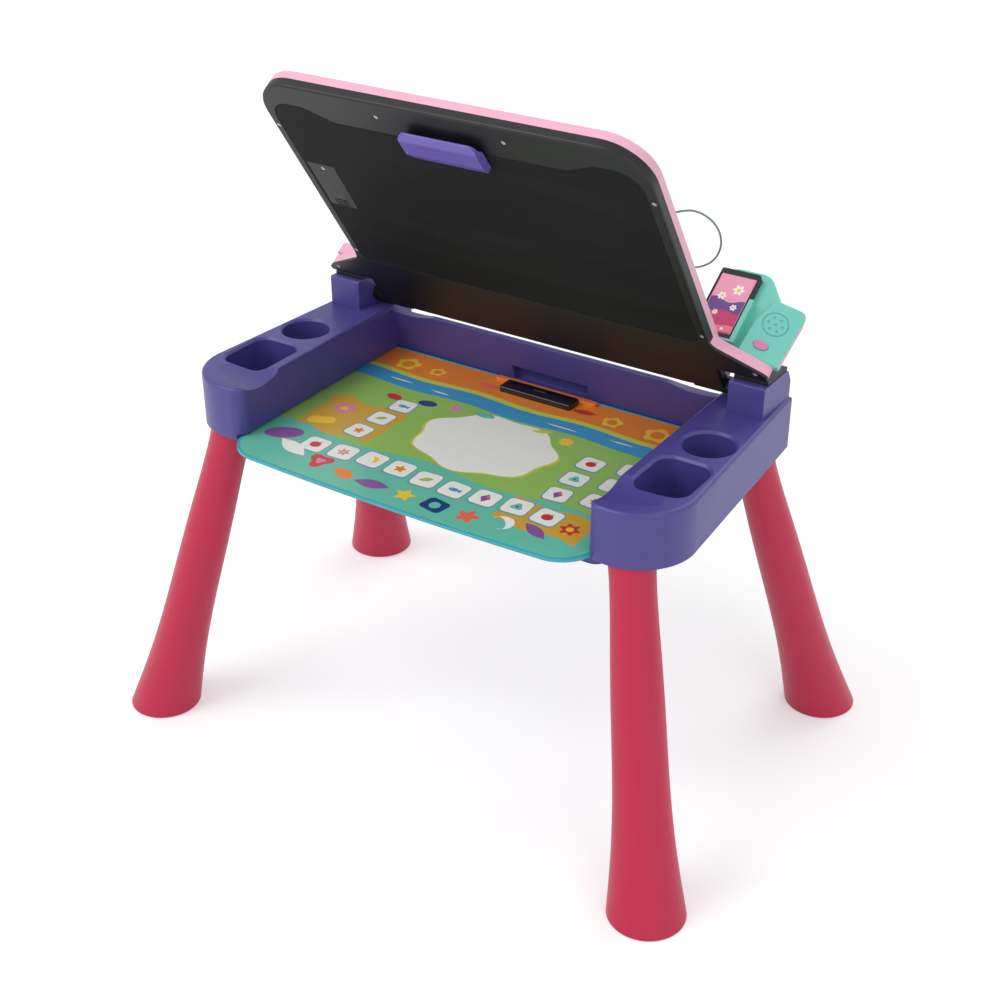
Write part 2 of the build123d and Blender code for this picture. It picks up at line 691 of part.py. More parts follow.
with BuildPart() as lid_back_panel:
    with BuildSketch(lid_plane(0)):
        add(lid_outline())
    extrude(amount=-PANEL_DEPTH)
    fillet(lid_back_panel.faces().sort_by(UP_AXIS)[0].edges(), PANEL_EDGE)
    for side in (-1, 1):
        with BuildSketch(lid_plane(0)):
            add(wing_outline(side))
        extrude(amount=-WING_BLACK)
    with BuildSketch(lid_plane(PANEL_DEPTH)):
        add(lid_outline())
        offset(amount=-LID_WALL)
    extrude(amount=PANEL_DEPTH - PANEL_FLOOR, mode=Mode.SUBTRACT)
    with BuildSketch(lid_plane(PANEL_FLOOR)):
        with Locations((DOOR_X, DOOR_V)):
            Rectangle(DOOR_WIDE + 2 * LID_WALL, DOOR_LONG + 2 * LID_WALL)
    extrude(amount=-(PANEL_DEPTH - PANEL_FLOOR))
    for start in (KNUCKLE_OUT, -KNUCKLE_IN):
        with BuildSketch(side_plane(start)):
            with Locations((0, HINGE_LIFT)):
                Circle(KNUCKLE_R)
        extrude(amount=KNUCKLE_OUT - KNUCKLE_IN)
    for start in (KNUCKLE_OUT, PIN_BORE_LONG - KNUCKLE_OUT):
        with BuildSketch(side_plane(start)):
            with Locations((0, HINGE_LIFT)):
                Circle(PIN_R + RUN_GAP)
        extrude(amount=PIN_BORE_LONG, mode=Mode.SUBTRACT)
    with BuildSketch(lid_plane(0)):
        add(chalk_outline(SEAT_GAP))
    extrude(amount=-BOARD_RECESS, mode=Mode.SUBTRACT)
    with BuildSketch(lid_plane(0)):
        with Locations((DOOR_X, DOOR_V)):
            Rectangle(DOOR_WIDE - 2 * LID_WALL, DOOR_LONG - 2 * LID_WALL)
    extrude(amount=-PANEL_DEPTH, mode=Mode.SUBTRACT)
    with BuildSketch(lid_plane(0)):
        with Locations((DOOR_X, DOOR_V)):
            Rectangle(DOOR_WIDE + 2 * SEAT_GAP, DOOR_LONG + 2 * SEAT_GAP)
    extrude(amount=-DOOR_THICK, mode=Mode.SUBTRACT)
    with BuildSketch(lid_plane(PANEL_FLOOR - 1.0)):
        with Locations((DOOR_X, DOOR_V)):
            Rectangle(DOOR_WIDE, DOOR_LONG)
    extrude(amount=-PANEL_DEPTH, mode=Mode.SUBTRACT)
    for start in (EAR_X + EAR_WIDE, -EAR_X):
        with BuildSketch(side_plane(start)):
            with Locations((CLIP_AXIS_V, -CLIP_AXIS_OUT)):
                Circle(2 * CLIP_PIN_R)
            with Locations((CLIP_AXIS_V, (PANEL_FLOOR - CLIP_AXIS_OUT) / 2)):
                Rectangle(3.2 * CLIP_PIN_R, PANEL_FLOOR + CLIP_AXIS_OUT)
            with Locations((CLIP_AXIS_V, -CLIP_AXIS_OUT)):
                Circle(CLIP_PIN_R + RUN_GAP / 2, mode=Mode.SUBTRACT)
        extrude(amount=EAR_WIDE)
    with BuildSketch(lid_plane(0)):
        with Locations(LID_SCREWS):
            Circle(SCREW_HEAD_R + SCREW_SLACK)
    extrude(amount=-SCREW_HEAD_TALL, mode=Mode.SUBTRACT)
save(lid_back_panel.part, "lid_back_panel")

with BuildPart() as lid_screws:
    with BuildSketch(lid_plane(SCREW_HEAD_TALL)):
        with Locations(LID_SCREWS):
            Circle(SCREW_HEAD_R)
    extrude(amount=SCREW_HEAD_TALL - SCREW_PROUD)
save(lid_screws.part, "lid_screws")

with BuildPart() as chalkboard:
    with BuildSketch(lid_plane(BOARD_RECESS)):
        add(chalk_outline(0))
        with Locations((DOOR_X, DOOR_V)):
            Rectangle(DOOR_WIDE + 2 * SEAT_GAP, DOOR_LONG + 2 * SEAT_GAP, mode=Mode.SUBTRACT)
        for side in (-1, 1):
            with Locations((side * (EAR_X + EAR_WIDE / 2), CLIP_AXIS_V)):
                Rectangle(EAR_WIDE + 2 * SEAT_GAP, 12 * CLIP_PIN_R, mode=Mode.SUBTRACT)
    extrude(amount=CHALK_THICK)
save(chalkboard.part, "chalkboard")

with BuildPart() as battery_door:
    with BuildSketch(lid_plane(DOOR_THICK)):
        with Locations((DOOR_X, DOOR_V)):
            Rectangle(DOOR_WIDE, DOOR_LONG)
    extrude(amount=DOOR_THICK - SCREW_PROUD)
    with BuildSketch(lid_plane(0)):
        with Locations((DOOR_X, DOOR_V + DOOR_LONG / 2 - DOOR_SCREW_IN)):
            Circle(SCREW_HEAD_R + SCREW_SLACK)
    extrude(amount=-SCREW_HEAD_TALL, mode=Mode.SUBTRACT)
    with BuildSketch(lid_plane(0)):
        with Locations((DOOR_X, DOOR_V - DOOR_LONG / 2 + DOOR_GRIP_IN)):
            with GridLocations(0, 4.0, 1, 3):
                SlotOverall(18.0, 2.0)
    extrude(amount=-1.0, mode=Mode.SUBTRACT)
save(battery_door.part, "battery_door")

with BuildPart() as battery_screw:
    with BuildSketch(lid_plane(SCREW_HEAD_TALL)):
        with Locations((DOOR_X, DOOR_V + DOOR_LONG / 2 - DOOR_SCREW_IN)):
            Circle(SCREW_HEAD_R)
    extrude(amount=SCREW_HEAD_TALL - 2 * SCREW_PROUD)
save(battery_screw.part, "battery_screw")

with BuildPart() as batteries:
    for side in (-1, 1):
        with BuildSketch(cross_plane(DOOR_V - CELL_LONG / 2)):
            with Locations((DOOR_X + side * (CELL_R + 0.4), DOOR_THICK + SEAT_GAP + CELL_R)):
                Circle(CELL_R)
        extrude(amount=CELL_LONG)
save(batteries.part, "batteries")

with BuildPart() as circuit_board:
    with BuildSketch(lid_plane(PANEL_FLOOR)):
        with Locations((CIRCUIT_X, CIRCUIT_V)):
            Rectangle(CIRCUIT_WIDE, CIRCUIT_LONG)
    extrude(amount=-CIRCUIT_THICK)
save(circuit_board.part, "circuit_board")

# Paper clip: a hollow wedge on a pin, whose lip rests on the chalkboard
LIP = BOARD_RECESS - CHALK_THICK - SEAT_GAP


def clip_plane_profile(points):
    """Face from (v, w) points of the clip's side view."""
    with BuildSketch() as face:
        with BuildLine():
            Polyline(*points, close=True)
        make_face()
    return face.sketch


with BuildPart() as paper_clip:
    with BuildSketch(side_plane(CLIP_HALF)):
        add(rounded([(CLIP_LOW_V, LIP), (CLIP_LOW_V, LIP - 2.6), (CLIP_LOW_V + 14, -CLIP_AXIS_OUT - 5),
                     (CLIP_TOP_V - 9, -CLIP_AXIS_OUT - 6.5), (CLIP_TOP_V, -CLIP_AXIS_OUT - 4.5),
                     (CLIP_TOP_V, -CLIP_AXIS_OUT - 2.3), (CLIP_AXIS_V + 10, -CLIP_AXIS_OUT - 1.5),
                     (CLIP_AXIS_V + 4, -2.0), (CLIP_LOW_V + 6, LIP)],
                    [0.8, 1.0, 6.0, 8.0, 1.0, 0.8, 2.0, 1.5, 1.0]))
    extrude(amount=2 * CLIP_HALF)
    with BuildSketch(side_plane(CLIP_HALF - CLIP_WALL)):
        add(clip_plane_profile([(CLIP_LOW_V + 6, CLIP_WALL), (CLIP_LOW_V + 6, LIP - 3.0),
                                (CLIP_LOW_V + 15, CLIP_WALL - CLIP_AXIS_OUT - 5),
                                (CLIP_TOP_V - 10, CLIP_WALL - CLIP_AXIS_OUT - 6.5),
                                (CLIP_AXIS_V + 8, -CLIP_AXIS_OUT), (CLIP_AXIS_V + 6, CLIP_WALL)]))
    extrude(amount=2 * (CLIP_HALF - CLIP_WALL), mode=Mode.SUBTRACT)
    with BuildSketch(side_plane(CLIP_HALF)):
        with Locations((CLIP_AXIS_V, -CLIP_AXIS_OUT)):
            Circle(CLIP_PIN_R + RUN_GAP)
    extrude(amount=2 * CLIP_HALF, mode=Mode.SUBTRACT)
    with BuildSketch(lid_plane(0)):
        with Locations((0, (CLIP_LOW_V + CLIP_TOP_V) / 2)):
            RectangleRounded(2 * CLIP_HALF, CLIP_TOP_V - CLIP_LOW_V, 9.0)
    extrude(amount=30.0, both=True, mode=Mode.INTERSECT)
save(paper_clip.part, "paper_clip")

with BuildPart() as clip_pin:
    with BuildSketch(side_plane(CLIP_HALF - 0.5)):
        with Locations((CLIP_AXIS_V, -CLIP_AXIS_OUT)):
            Circle(CLIP_PIN_R)
    extrude(amount=2 * CLIP_HALF - 1.0)
save(clip_pin.part, "clip_pin")

with BuildPart() as clip_spring:
    with BuildSketch(side_plane(6.0)):
        with Locations((CLIP_AXIS_V, -CLIP_AXIS_OUT)):
            Circle(CLIP_PIN_R + 1.0)
            Circle(CLIP_PIN_R + RUN_GAP, mode=Mode.SUBTRACT)
    extrude(amount=12.0)
save(clip_spring.part, "clip_spring")

# Lid shell, light side
KNUCKLE_NOTCH = 2 * (LID_HALF - KNUCKLE_IN) + 4

with BuildPart() as lid_shell:
    with BuildSketch(lid_plane(PANEL_DEPTH)):
        add(lid_outline())
        for side in (-1, 1):
            with Locations((side * LID_HALF, 0)):
                Rectangle(KNUCKLE_NOTCH, 2 * KNUCKLE_R + 2, mode=Mode.SUBTRACT)
    extrude(amount=-SHELL_DEPTH)
    fillet(lid_shell.faces().sort_by(UP_AXIS)[-1].edges(), 4.0)
    with BuildSketch(lid_plane(PANEL_DEPTH)):
        add(lid_outline())
        for side in (-1, 1):
            with Locations((side * LID_HALF, 0)):
                Rectangle(KNUCKLE_NOTCH, 2 * KNUCKLE_R + 2, mode=Mode.SUBTRACT)
        offset(amount=-LID_WALL)
    extrude(amount=-(SHELL_DEPTH - LID_WALL), mode=Mode.SUBTRACT)
    for side in (-1, 1):
        with BuildSketch(lid_plane(WING_BLACK)):
            add(wing_outline(side))
        extrude(amount=-(WING_TOP - WING_BLACK))
    with BuildSketch(lid_plane(0)):
        add(lid_outline())
    extrude(amount=-PANEL_DEPTH, mode=Mode.SUBTRACT)
    with BuildSketch(lid_plane(SHELL_TOP)):
        with Locations((0, (DESK_PAGE_LOW + DESK_PAGE_TOP) / 2)):
            RectangleRounded(2 * DESK_PAGE_HALF + 1, DESK_PAGE_TOP - DESK_PAGE_LOW + 1, 10.0)
    extrude(amount=DESK_PAGE_SUNK, mode=Mode.SUBTRACT)
save(lid_shell.part, "lid_shell")

with BuildPart() as desk_page:
    with BuildSketch(lid_plane(SHELL_TOP - DESK_PAGE_SUNK)):
        with Locations((0, (DESK_PAGE_LOW + DESK_PAGE_TOP) / 2)):
            RectangleRounded(2 * DESK_PAGE_HALF, DESK_PAGE_TOP - DESK_PAGE_LOW, 9.5)
    extrude(amount=-DESK_PAGE_THICK)
save(desk_page.part, "desk_page")

# Console with a hump at its right end, and the volume slider in its top
CONSOLE_END = CONSOLE_V + CONSOLE_LONG
CONSOLE_TOP = SHELL_TOP + CONSOLE_TALL
SLIDER_V = CONSOLE_V + CONSOLE_LONG / 2
SLIDER_UNDER = CONSOLE_TOP - LID_WALL - 1 - SEAT_GAP
HUMP_LEFT = CONSOLE_RIGHT - HUMP_WIDE

with BuildPart() as console_housing:
    with BuildSketch(side_plane(CONSOLE_RIGHT)):
        add(rounded([(CONSOLE_V, SHELL_TOP), (CONSOLE_V, CONSOLE_TOP), (CONSOLE_END, CONSOLE_TOP),
                     (CONSOLE_END, SHELL_TOP)], [0.3, 8.0, 10.0, 0.3]))
    extrude(amount=CONSOLE_RIGHT - CONSOLE_LEFT)
    with BuildSketch(cross_plane(CONSOLE_END - HUMP_LONG)):
        add(rounded([(HUMP_LEFT, SHELL_TOP), (HUMP_LEFT, SHELL_TOP + HUMP_TALL),
                     (CONSOLE_RIGHT, SHELL_TOP + HUMP_TALL), (CONSOLE_RIGHT, SHELL_TOP)],
                    [0.3, 20.0, 20.0, 0.3]))
    extrude(amount=HUMP_LONG)
    with BuildSketch(side_plane(CONSOLE_RIGHT - LID_WALL)):
        with Locations((CONSOLE_V + CONSOLE_LONG / 2, SHELL_TOP)):
            Rectangle(CONSOLE_LONG - 2 * LID_WALL - 4, 2 * (CONSOLE_TALL - LID_WALL - 1))
    extrude(amount=CONSOLE_RIGHT - CONSOLE_LEFT - 2 * LID_WALL, mode=Mode.SUBTRACT)
    with BuildSketch(lid_plane(CONSOLE_TOP)):
        with Locations((SLIDER_X, SLIDER_V)):
            SlotOverall(SLIDER_TRAVEL + 12.0, 6.0)
    extrude(amount=2 * LID_WALL, mode=Mode.SUBTRACT)
save(console_housing.part, "console_housing")

with BuildPart() as volume_slider:
    with BuildSketch(lid_plane(SLIDER_UNDER)):
        with Locations((SLIDER_X, SLIDER_V)):
            Rectangle(20.0, 12.0)
    extrude(amount=2.0)
    with BuildSketch(lid_plane(SLIDER_UNDER)):
        with Locations((SLIDER_X, SLIDER_V)):
            SlotOverall(10.0, 5.2)
    extrude(amount=-(LID_WALL + 1 + SEAT_GAP + 2.0))
save(volume_slider.part, "volume_slider")

with BuildPart() as tether_grommet:
    with BuildSketch(cross_plane(CONSOLE_END)):
        with Locations((GROMMET_X, GROMMET_W)):
            Circle(GROMMET_R)
    extrude(amount=0.4 * GROMMET_LONG)
    with BuildSketch(cross_plane(CONSOLE_END)):
        with Locations((GROMMET_X, GROMMET_W)):
            Circle(0.6 * GROMMET_R)
    extrude(amount=GROMMET_LONG)
save(tether_grommet.part, "tether_grommet")

# Toy phone that stands in a cradle, facing the child when the lid is closed
PHONE_LOW = SHELL_TOP + CRADLE_LIP + SEAT_GAP
CRADLE_LEFT = CONSOLE_RIGHT + SEAT_GAP
PHONE_X = CRADLE_LEFT + CRADLE_WALL + PHONE_WIDE / 2

with BuildPart() as phone_case:
    with BuildSketch(cross_plane(PHONE_FRONT_V)):
        with Locations((PHONE_X, PHONE_LOW + PHONE_TALL / 2)):
            RectangleRounded(PHONE_WIDE, PHONE_TALL, 2.5)
    extrude(amount=-PHONE_THICK)
    with BuildSketch(cross_plane(PHONE_FRONT_V)):
        with Locations((PHONE_X, PHONE_LOW + PHONE_TALL / 2 - 1.0)):
            Rectangle(PHONE_WIDE - 2 * PHONE_RIM, PHONE_TALL - PHONE_ENDS)
    extrude(amount=-PHONE_RECESS, mode=Mode.SUBTRACT)
save(phone_case.part, "phone_case")

with BuildPart() as phone_screen:
    with BuildSketch(cross_plane(PHONE_FRONT_V - PHONE_RECESS)):
        with Locations((PHONE_X, PHONE_LOW + PHONE_TALL / 2 - 1.0)):
            Rectangle(PHONE_WIDE - 2 * PHONE_RIM - CRADLE_GAP, PHONE_TALL - PHONE_ENDS - CRADLE_GAP)
    extrude(amount=PHONE_RECESS - SCREW_PROUD)
save(phone_screen.part, "phone_screen")

# Speaker pod and its button, turned to the front right on the wing
TURN = radians(POD_TURN)
POD_ALONG = ACROSS * cos(TURN) - ALONG * sin(TURN)
POD_OUT = ALONG * cos(TURN) + ACROSS * sin(TURN)
POD_AXIS = Axis(tuple(HINGE), tuple(POD_OUT))
POD_BACK_V = WING_LOW_V + 1.0


def pod_plane(depth):
    """Plane of the pod's face, moved back by a depth. Sketches use (along, w)."""
    return Plane(origin=lid_point(POD_X, POD_V, 0) - POD_OUT * depth, x_dir=POD_ALONG, z_dir=POD_OUT)


def pod_outline():
    """Front view of the pod, leaning a little to the right."""
    top = WING_TOP + POD_TALL
    return rounded([(0.5, WING_TOP), (3.0, top - 30), (13.0, top), (POD_WIDE + 1, top),
                    (POD_WIDE + 2, top - 16), (POD_WIDE - 1, WING_TOP)], [1.0, 20.0, 9.0, 8.0, 8.0, 1.0])


def housing_outline():
    """Front view of the shell behind the pod, wider on its right."""
    top = WING_TOP + POD_TALL - 8
    return rounded([(3.0, WING_TOP), (6.0, top - 26), (16.0, top), (POD_WIDE + 7, top - 2),
                    (POD_WIDE + 8, WING_TOP + 20), (POD_WIDE + 4, WING_TOP)],
                   [1.0, 16.0, 8.0, 10.0, 8.0, 4.0])


# Cradle: a back plate with an arch top, a lip, two cheeks and a foot on the wing
CRADLE_BACK_V = PHONE_FRONT_V - PHONE_THICK - CRADLE_GAP - CRADLE_THICK
CRADLE_CHEEK = CRADLE_LEFT + CRADLE_WALL + PHONE_WIDE + CRADLE_GAP

with BuildPart() as phone_cradle:
    with BuildSketch(cross_plane(CRADLE_BACK_V)):
        add(rounded([(CRADLE_LEFT, SHELL_TOP), (CRADLE_LEFT, CRADLE_TOP_W),
                     (CRADLE_RIGHT - 24, CRADLE_TOP_W), (CRADLE_RIGHT, CRADLE_TOP_W - 30),
                     (CRADLE_RIGHT - 17, SHELL_TOP)], [3.0, 22.0, 20.0, 14.0, 3.0]))
    extrude(amount=CRADLE_THICK)
    fillet(phone_cradle.faces().sort_by(ALONG_AXIS)[-1].edges(), 2.0)
    with BuildSketch(cross_plane(CRADLE_BACK_V)):
        with Locations((CRADLE_RIGHT - 27, WING_TOP)):
            Rectangle(17.0, SHELL_TOP - WING_TOP + 4.0, align=FROM_LOW)
    extrude(amount=CRADLE_THICK - 2.0)
    with BuildSketch(cross_plane(PHONE_FRONT_V + 2.0)):
        with Locations((CRADLE_LEFT, SHELL_TOP)):
            Rectangle(CRADLE_CHEEK - CRADLE_LEFT, CRADLE_LIP, align=FROM_CORNER)
            Rectangle(CRADLE_WALL - CRADLE_GAP, 34.0, align=FROM_CORNER)
        with Locations((CRADLE_CHEEK, SHELL_TOP)):
            Rectangle(CRADLE_WALL, 52.0, align=FROM_CORNER)
    extrude(amount=-(PHONE_THICK + CRADLE_GAP + 4.0))
    with BuildSketch(pod_plane(-POD_SKIN)):
        add(pod_outline())
        add(housing_outline())
        offset(amount=SEAT_GAP)
    extrude(amount=-(POD_SKIN + 2 * POD_DEEP), mode=Mode.SUBTRACT)
save(phone_cradle.part, "phone_cradle")

with BuildPart() as control_pod:
    with BuildSketch(pod_plane(0)):
        add(pod_outline())
    extrude(amount=-POD_SKIN)
    fillet(control_pod.faces().sort_by(POD_AXIS)[-1].edges(), POD_EDGE)
    with BuildSketch(pod_plane(0)):
        with Locations(BUTTON_AT):
            Ellipse(BUTTON_WIDE / 2 + SEAT_GAP, BUTTON_TALL / 2 + SEAT_GAP)
    extrude(amount=-POD_SKIN, mode=Mode.SUBTRACT)
    with BuildSketch(pod_plane(0)):
        with Locations(DISC_AT):
            Circle(DISC_R)
            Circle(DISC_R - 1.5, mode=Mode.SUBTRACT)
            with PolarLocations(7.5, 6):
                Circle(1.6)
            Circle(1.6)
    extrude(amount=-1.0, mode=Mode.SUBTRACT)
save(control_pod.part, "control_pod")

with BuildPart() as pod_housing:
    with BuildSketch(pod_plane(POD_SKIN)):
        add(housing_outline())
    extrude(amount=-POD_DEEP)
    with BuildSketch(pod_plane(POD_SKIN)):
        with Locations(DISC_AT):
            Circle(DISC_R - 1.0)
    extrude(amount=-4.5, mode=Mode.SUBTRACT)
    with BuildSketch(cross_plane(POD_BACK_V)):
        with Locations((POD_X, POD_TALL)):
            Rectangle(4 * POD_WIDE, 4 * POD_TALL)
    extrude(amount=-60.0, mode=Mode.SUBTRACT)
save(pod_housing.part, "pod_housing")

with BuildPart() as speaker:
    with BuildSketch(pod_plane(POD_SKIN)):
        with Locations(DISC_AT):
            Circle(DISC_R - 1.2)
    extrude(amount=-2.0)
    with BuildSketch(pod_plane(POD_SKIN + 2.0)):
        with Locations(DISC_AT):
            Circle(DISC_R - 5)
    extrude(amount=-2.4)
save(speaker.part, "speaker")

with BuildPart() as pod_button:
    with BuildSketch(pod_plane(-1.5)):
        with Locations(BUTTON_AT):
            Ellipse(BUTTON_WIDE / 2, BUTTON_TALL / 2)
    extrude(amount=-(POD_SKIN - BUTTON_TRAVEL - SEAT_GAP + 1.5))
    fillet(pod_button.faces().sort_by(POD_AXIS)[-1].edges(), 1.0)
save(pod_button.part, "pod_button")

with BuildPart() as left_wing_rest:
    with BuildSketch(lid_plane(WING_TOP)):
        with Locations((-REST_X, REST_V)):
            RectangleRounded(30.0, 15.0, 5.0)
    extrude(amount=-15.0)
    fillet(left_wing_rest.faces().sort_by(UP_AXIS)[-1].edges(), 3.0)
    with Locations(Location(tuple(lid_point(-REST_X, REST_V, WING_TOP + 21.0)), (0, 90, 0))):
        Cylinder(10.0, 60.0, mode=Mode.SUBTRACT)
save(left_wing_rest.part, "left_wing_rest")

# Stylus in its holder beside the desk page
with BuildPart() as stylus:
    with BuildSketch(cross_plane(STYLUS_TIP_V + STYLUS_POINT)):
        with Locations((STYLUS_X, STYLUS_W)):
            Circle(STYLUS_R)
    extrude(amount=STYLUS_TAIL_V - STYLUS_TIP_V - STYLUS_POINT - STYLUS_TAIL)
    with BuildSketch(cross_plane(STYLUS_TIP_V)):
        with Locations((STYLUS_X, STYLUS_W)):
            Circle(STYLUS_R / 4)
    with BuildSketch(cross_plane(STYLUS_TIP_V + STYLUS_POINT)):
        with Locations((STYLUS_X, STYLUS_W)):
            Circle(STYLUS_R)
    loft()
    with BuildSketch(cross_plane(STYLUS_TAIL_V - STYLUS_TAIL)):
        with Locations((STYLUS_X, STYLUS_W)):
            Circle(STYLUS_R / 2)
    extrude(amount=STYLUS_TAIL)
save(stylus.part, "stylus")

with BuildPart() as stylus_holder:
    for start in (STYLUS_TIP_V + 24, STYLUS_TAIL_V - 34):
        with BuildSketch(cross_plane(start)):
            with Locations((STYLUS_X, SHELL_TOP)):
                Rectangle(2 * STYLUS_R + 4, STYLUS_W - SHELL_TOP + 1, align=FROM_LOW)
            with Locations((STYLUS_X, STYLUS_W)):
                Circle(STYLUS_R + SEAT_GAP, mode=Mode.SUBTRACT)
        extrude(amount=10.0)
    with BuildSketch(lid_plane(SHELL_TOP)):
        with Locations((STYLUS_X, (STYLUS_TIP_V + STYLUS_TAIL_V) / 2)):
            RectangleRounded(2 * STYLUS_R + 6, STYLUS_TAIL_V - STYLUS_TIP_V - 34, 3.0)
    extrude(amount=-HOLDER_BASE)
save(stylus_holder.part, "stylus_holder")

# Tether from the grommet to the stylus, as (x, v, w) in the lid's directions
TETHER_POINTS = [(GROMMET_X, CONSOLE_END + GROMMET_LONG, GROMMET_W), (GROMMET_X, 110.0, GROMMET_W),
                 (176.0, 122.0, 56.0), (197.0, 138.0, 51.0), (217.0, 162.0, 46.0), (231.0, 190.0, 43.0),
                 (236.0, 215.0, 41.0), (232.0, 234.0, 40.0), (218.0, 244.5, 39.0), (200.0, 239.0, 37.0),
                 (184.0, 231.0, 34.0), (171.5, 221.0, 31.8), (STYLUS_X, STYLUS_TAIL_V + 15, STYLUS_W),
                 (STYLUS_X, STYLUS_TAIL_V, STYLUS_W)]


def tether_radii(points):
    """Largest tangent arc at each inner point: 0.45 of its shorter run."""
    radii = []
    for before, at, after in zip(points, points[1:], points[2:]):
        turn = radians((at - before).get_angle(after - at))
        radii.append(0.45 * min((at - before).length, (after - at).length) / tan(turn / 2))
    return radii


route = [lid_point(*point) for point in TETHER_POINTS]
arcs = tether_radii(route)

with BuildPart() as stylus_tether:
    with BuildLine() as path:
        FilletPolyline(*route, radius=arcs)
    with BuildSketch(Plane(origin=route[0], z_dir=route[1] - route[0])):
        Circle(TETHER_R)
    sweep()
save(stylus_tether.part, "stylus_tether")

length = sum(edge.length for edge in path.edges())
print("tether radii", [round(radius, 1) for radius in arcs])
print("tether length", round(length, 1), "volume ratio",
      round(stylus_tether.part.volume / (3.14159265 * TETHER_R**2 * length), 4))
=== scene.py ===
"""Children's activity desk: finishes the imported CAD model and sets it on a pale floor."""
import json
import math

import bpy
import numpy as np
from bpy.props import FloatProperty, FloatVectorProperty, IntProperty, PointerProperty
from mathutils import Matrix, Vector
from mathutils.geometry import delaunay_2d_cdt

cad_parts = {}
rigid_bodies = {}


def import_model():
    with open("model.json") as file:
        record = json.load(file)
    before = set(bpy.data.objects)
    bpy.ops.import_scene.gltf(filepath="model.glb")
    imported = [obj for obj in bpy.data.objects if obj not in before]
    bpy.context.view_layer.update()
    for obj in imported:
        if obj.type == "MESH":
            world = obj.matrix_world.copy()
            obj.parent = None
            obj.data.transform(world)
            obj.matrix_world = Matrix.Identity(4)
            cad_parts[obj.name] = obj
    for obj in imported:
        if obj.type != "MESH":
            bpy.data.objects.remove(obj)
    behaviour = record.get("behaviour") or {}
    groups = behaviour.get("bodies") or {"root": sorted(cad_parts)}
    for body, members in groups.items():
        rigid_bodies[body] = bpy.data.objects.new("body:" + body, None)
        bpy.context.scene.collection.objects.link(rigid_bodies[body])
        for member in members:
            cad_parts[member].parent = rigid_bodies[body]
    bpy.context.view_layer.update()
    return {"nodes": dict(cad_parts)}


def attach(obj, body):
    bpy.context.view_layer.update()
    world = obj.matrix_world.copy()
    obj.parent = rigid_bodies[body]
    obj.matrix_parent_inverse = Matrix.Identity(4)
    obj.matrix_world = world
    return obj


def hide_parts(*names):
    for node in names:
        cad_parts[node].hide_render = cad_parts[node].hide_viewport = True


bl_info = {
    "name": "Activity desk",
    "version": (1, 0, 0),
    "blender": (4, 5, 0),
    "location": "View3D > Sidebar > Desk",
    "description": "Finishes and printed sheets for a children's activity desk",
    "category": "Add Mesh",
}

for spare in list(bpy.data.objects):
    bpy.data.objects.remove(spare)
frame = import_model()
MM = 0.001

# The lid's own directions: across, along it from the hinge, and up from its dark side
LID_OPEN = math.radians(56.0)
HINGE = np.array([0.0, 111.0, 410.0])
HINGE_LIFT = 9.0
ACROSS = np.array([1.0, 0.0, 0.0])
ALONG = np.array([0.0, -math.cos(LID_OPEN), math.sin(LID_OPEN)])
UP = np.array([0.0, math.sin(LID_OPEN), math.cos(LID_OPEN)])
SHELL_TOP = 21.0

# The printed sheets, in millimetres: the page on the board, the sheet on the lid and the phone's label
SHEET_THICK = 0.6
LABEL_THICK = 0.5
PAGE_BASE = 345.3
PAGE_HALF, PAGE_BACK, PAGE_FRONT, PAGE_BOW, PAGE_CORNER = 208.5, 114.0, -184.0, 4.0, 37.0
PAGE_MARGIN = 2.0
SHEET_BASE = SHELL_TOP - 0.8
SHEET_WIDE, SHEET_LONG, SHEET_MIDDLE, SHEET_CORNER = 292, 232, 222, 9.5
LABEL_FRONT, LABEL_MIDDLE, LABEL_LOW, LABEL_WIDE, LABEL_TALL = 61.2, 198.8, 29.3, 38.0, 68.2

# Screw heads on the lid's dark side, as (across, along), and the height at which they sit
LID_SCREWS = ((209.0, 296.0), (209.0, 96.0), (256.0, 50.0), (70.0, 340.0))
DOOR_SCREW = (-184.0, 237.0)
SCREW_SEAT = 1.4
SCREW_RADIUS = 2.8
LID_SCREW_TALL = 1.3
DOOR_SCREW_TALL = 1.1

# The tether: its route on the lid in millimetres, then its length and thickness in metres
TETHER_ROUTE = (
    (162.0, 97.0, 58.0), (162.0, 110.0, 58.0), (176.0, 122.0, 56.0), (197.0, 138.0, 51.0),
    (217.0, 162.0, 46.0), (231.0, 190.0, 43.0), (236.0, 215.0, 41.0), (232.0, 234.0, 40.0),
    (218.0, 244.5, 39.0), (200.0, 239.0, 37.0), (184.0, 231.0, 34.0), (171.5, 221.0, 31.8),
    (166.0, 207.0, 31.0), (166.0, 192.0, 31.0))
TETHER_THICK = 0.002

# The view of the photograph
CAMERA_AT = Vector((0.830318, -1.251559, 1.126105))
CAMERA_AIM = Vector((0.039512, -0.045, 0.29609))
CAMERA_LENS = 58.42
CAMERA_SENSOR = 36.0

# The studio: lamps as (name, place, width, watts), and how bright the world and the floor look
LAMPS = (("key_lamp", (-1.6, -2.0, 3.0), 2.2, 56.0),
         ("side_lamp", (2.6, -1.6, 2.2), 2.0, 20.0),
         ("back_lamp", (0.4, 2.6, 2.6), 2.4, 26.0))
LAMP_AIM = Vector((0, 0, 0.3))
WORLD_LIGHT = 0.6
WORLD_SEEN = 0.4
FLOOR_GLOW = 0.33
FLOOR_FAR_GLOW = 0.32
FLOOR_SIDES = 96


def srgb(red, green, blue):
    """Linear colour of an 8-bit screen colour, by the standard curve."""
    value = np.array([red, green, blue]) / 255.0
    linear = np.where(value <= 0.04045, value / 12.92, ((value + 0.055) / 1.055) ** 2.4)
    return tuple(float(part) for part in linear)


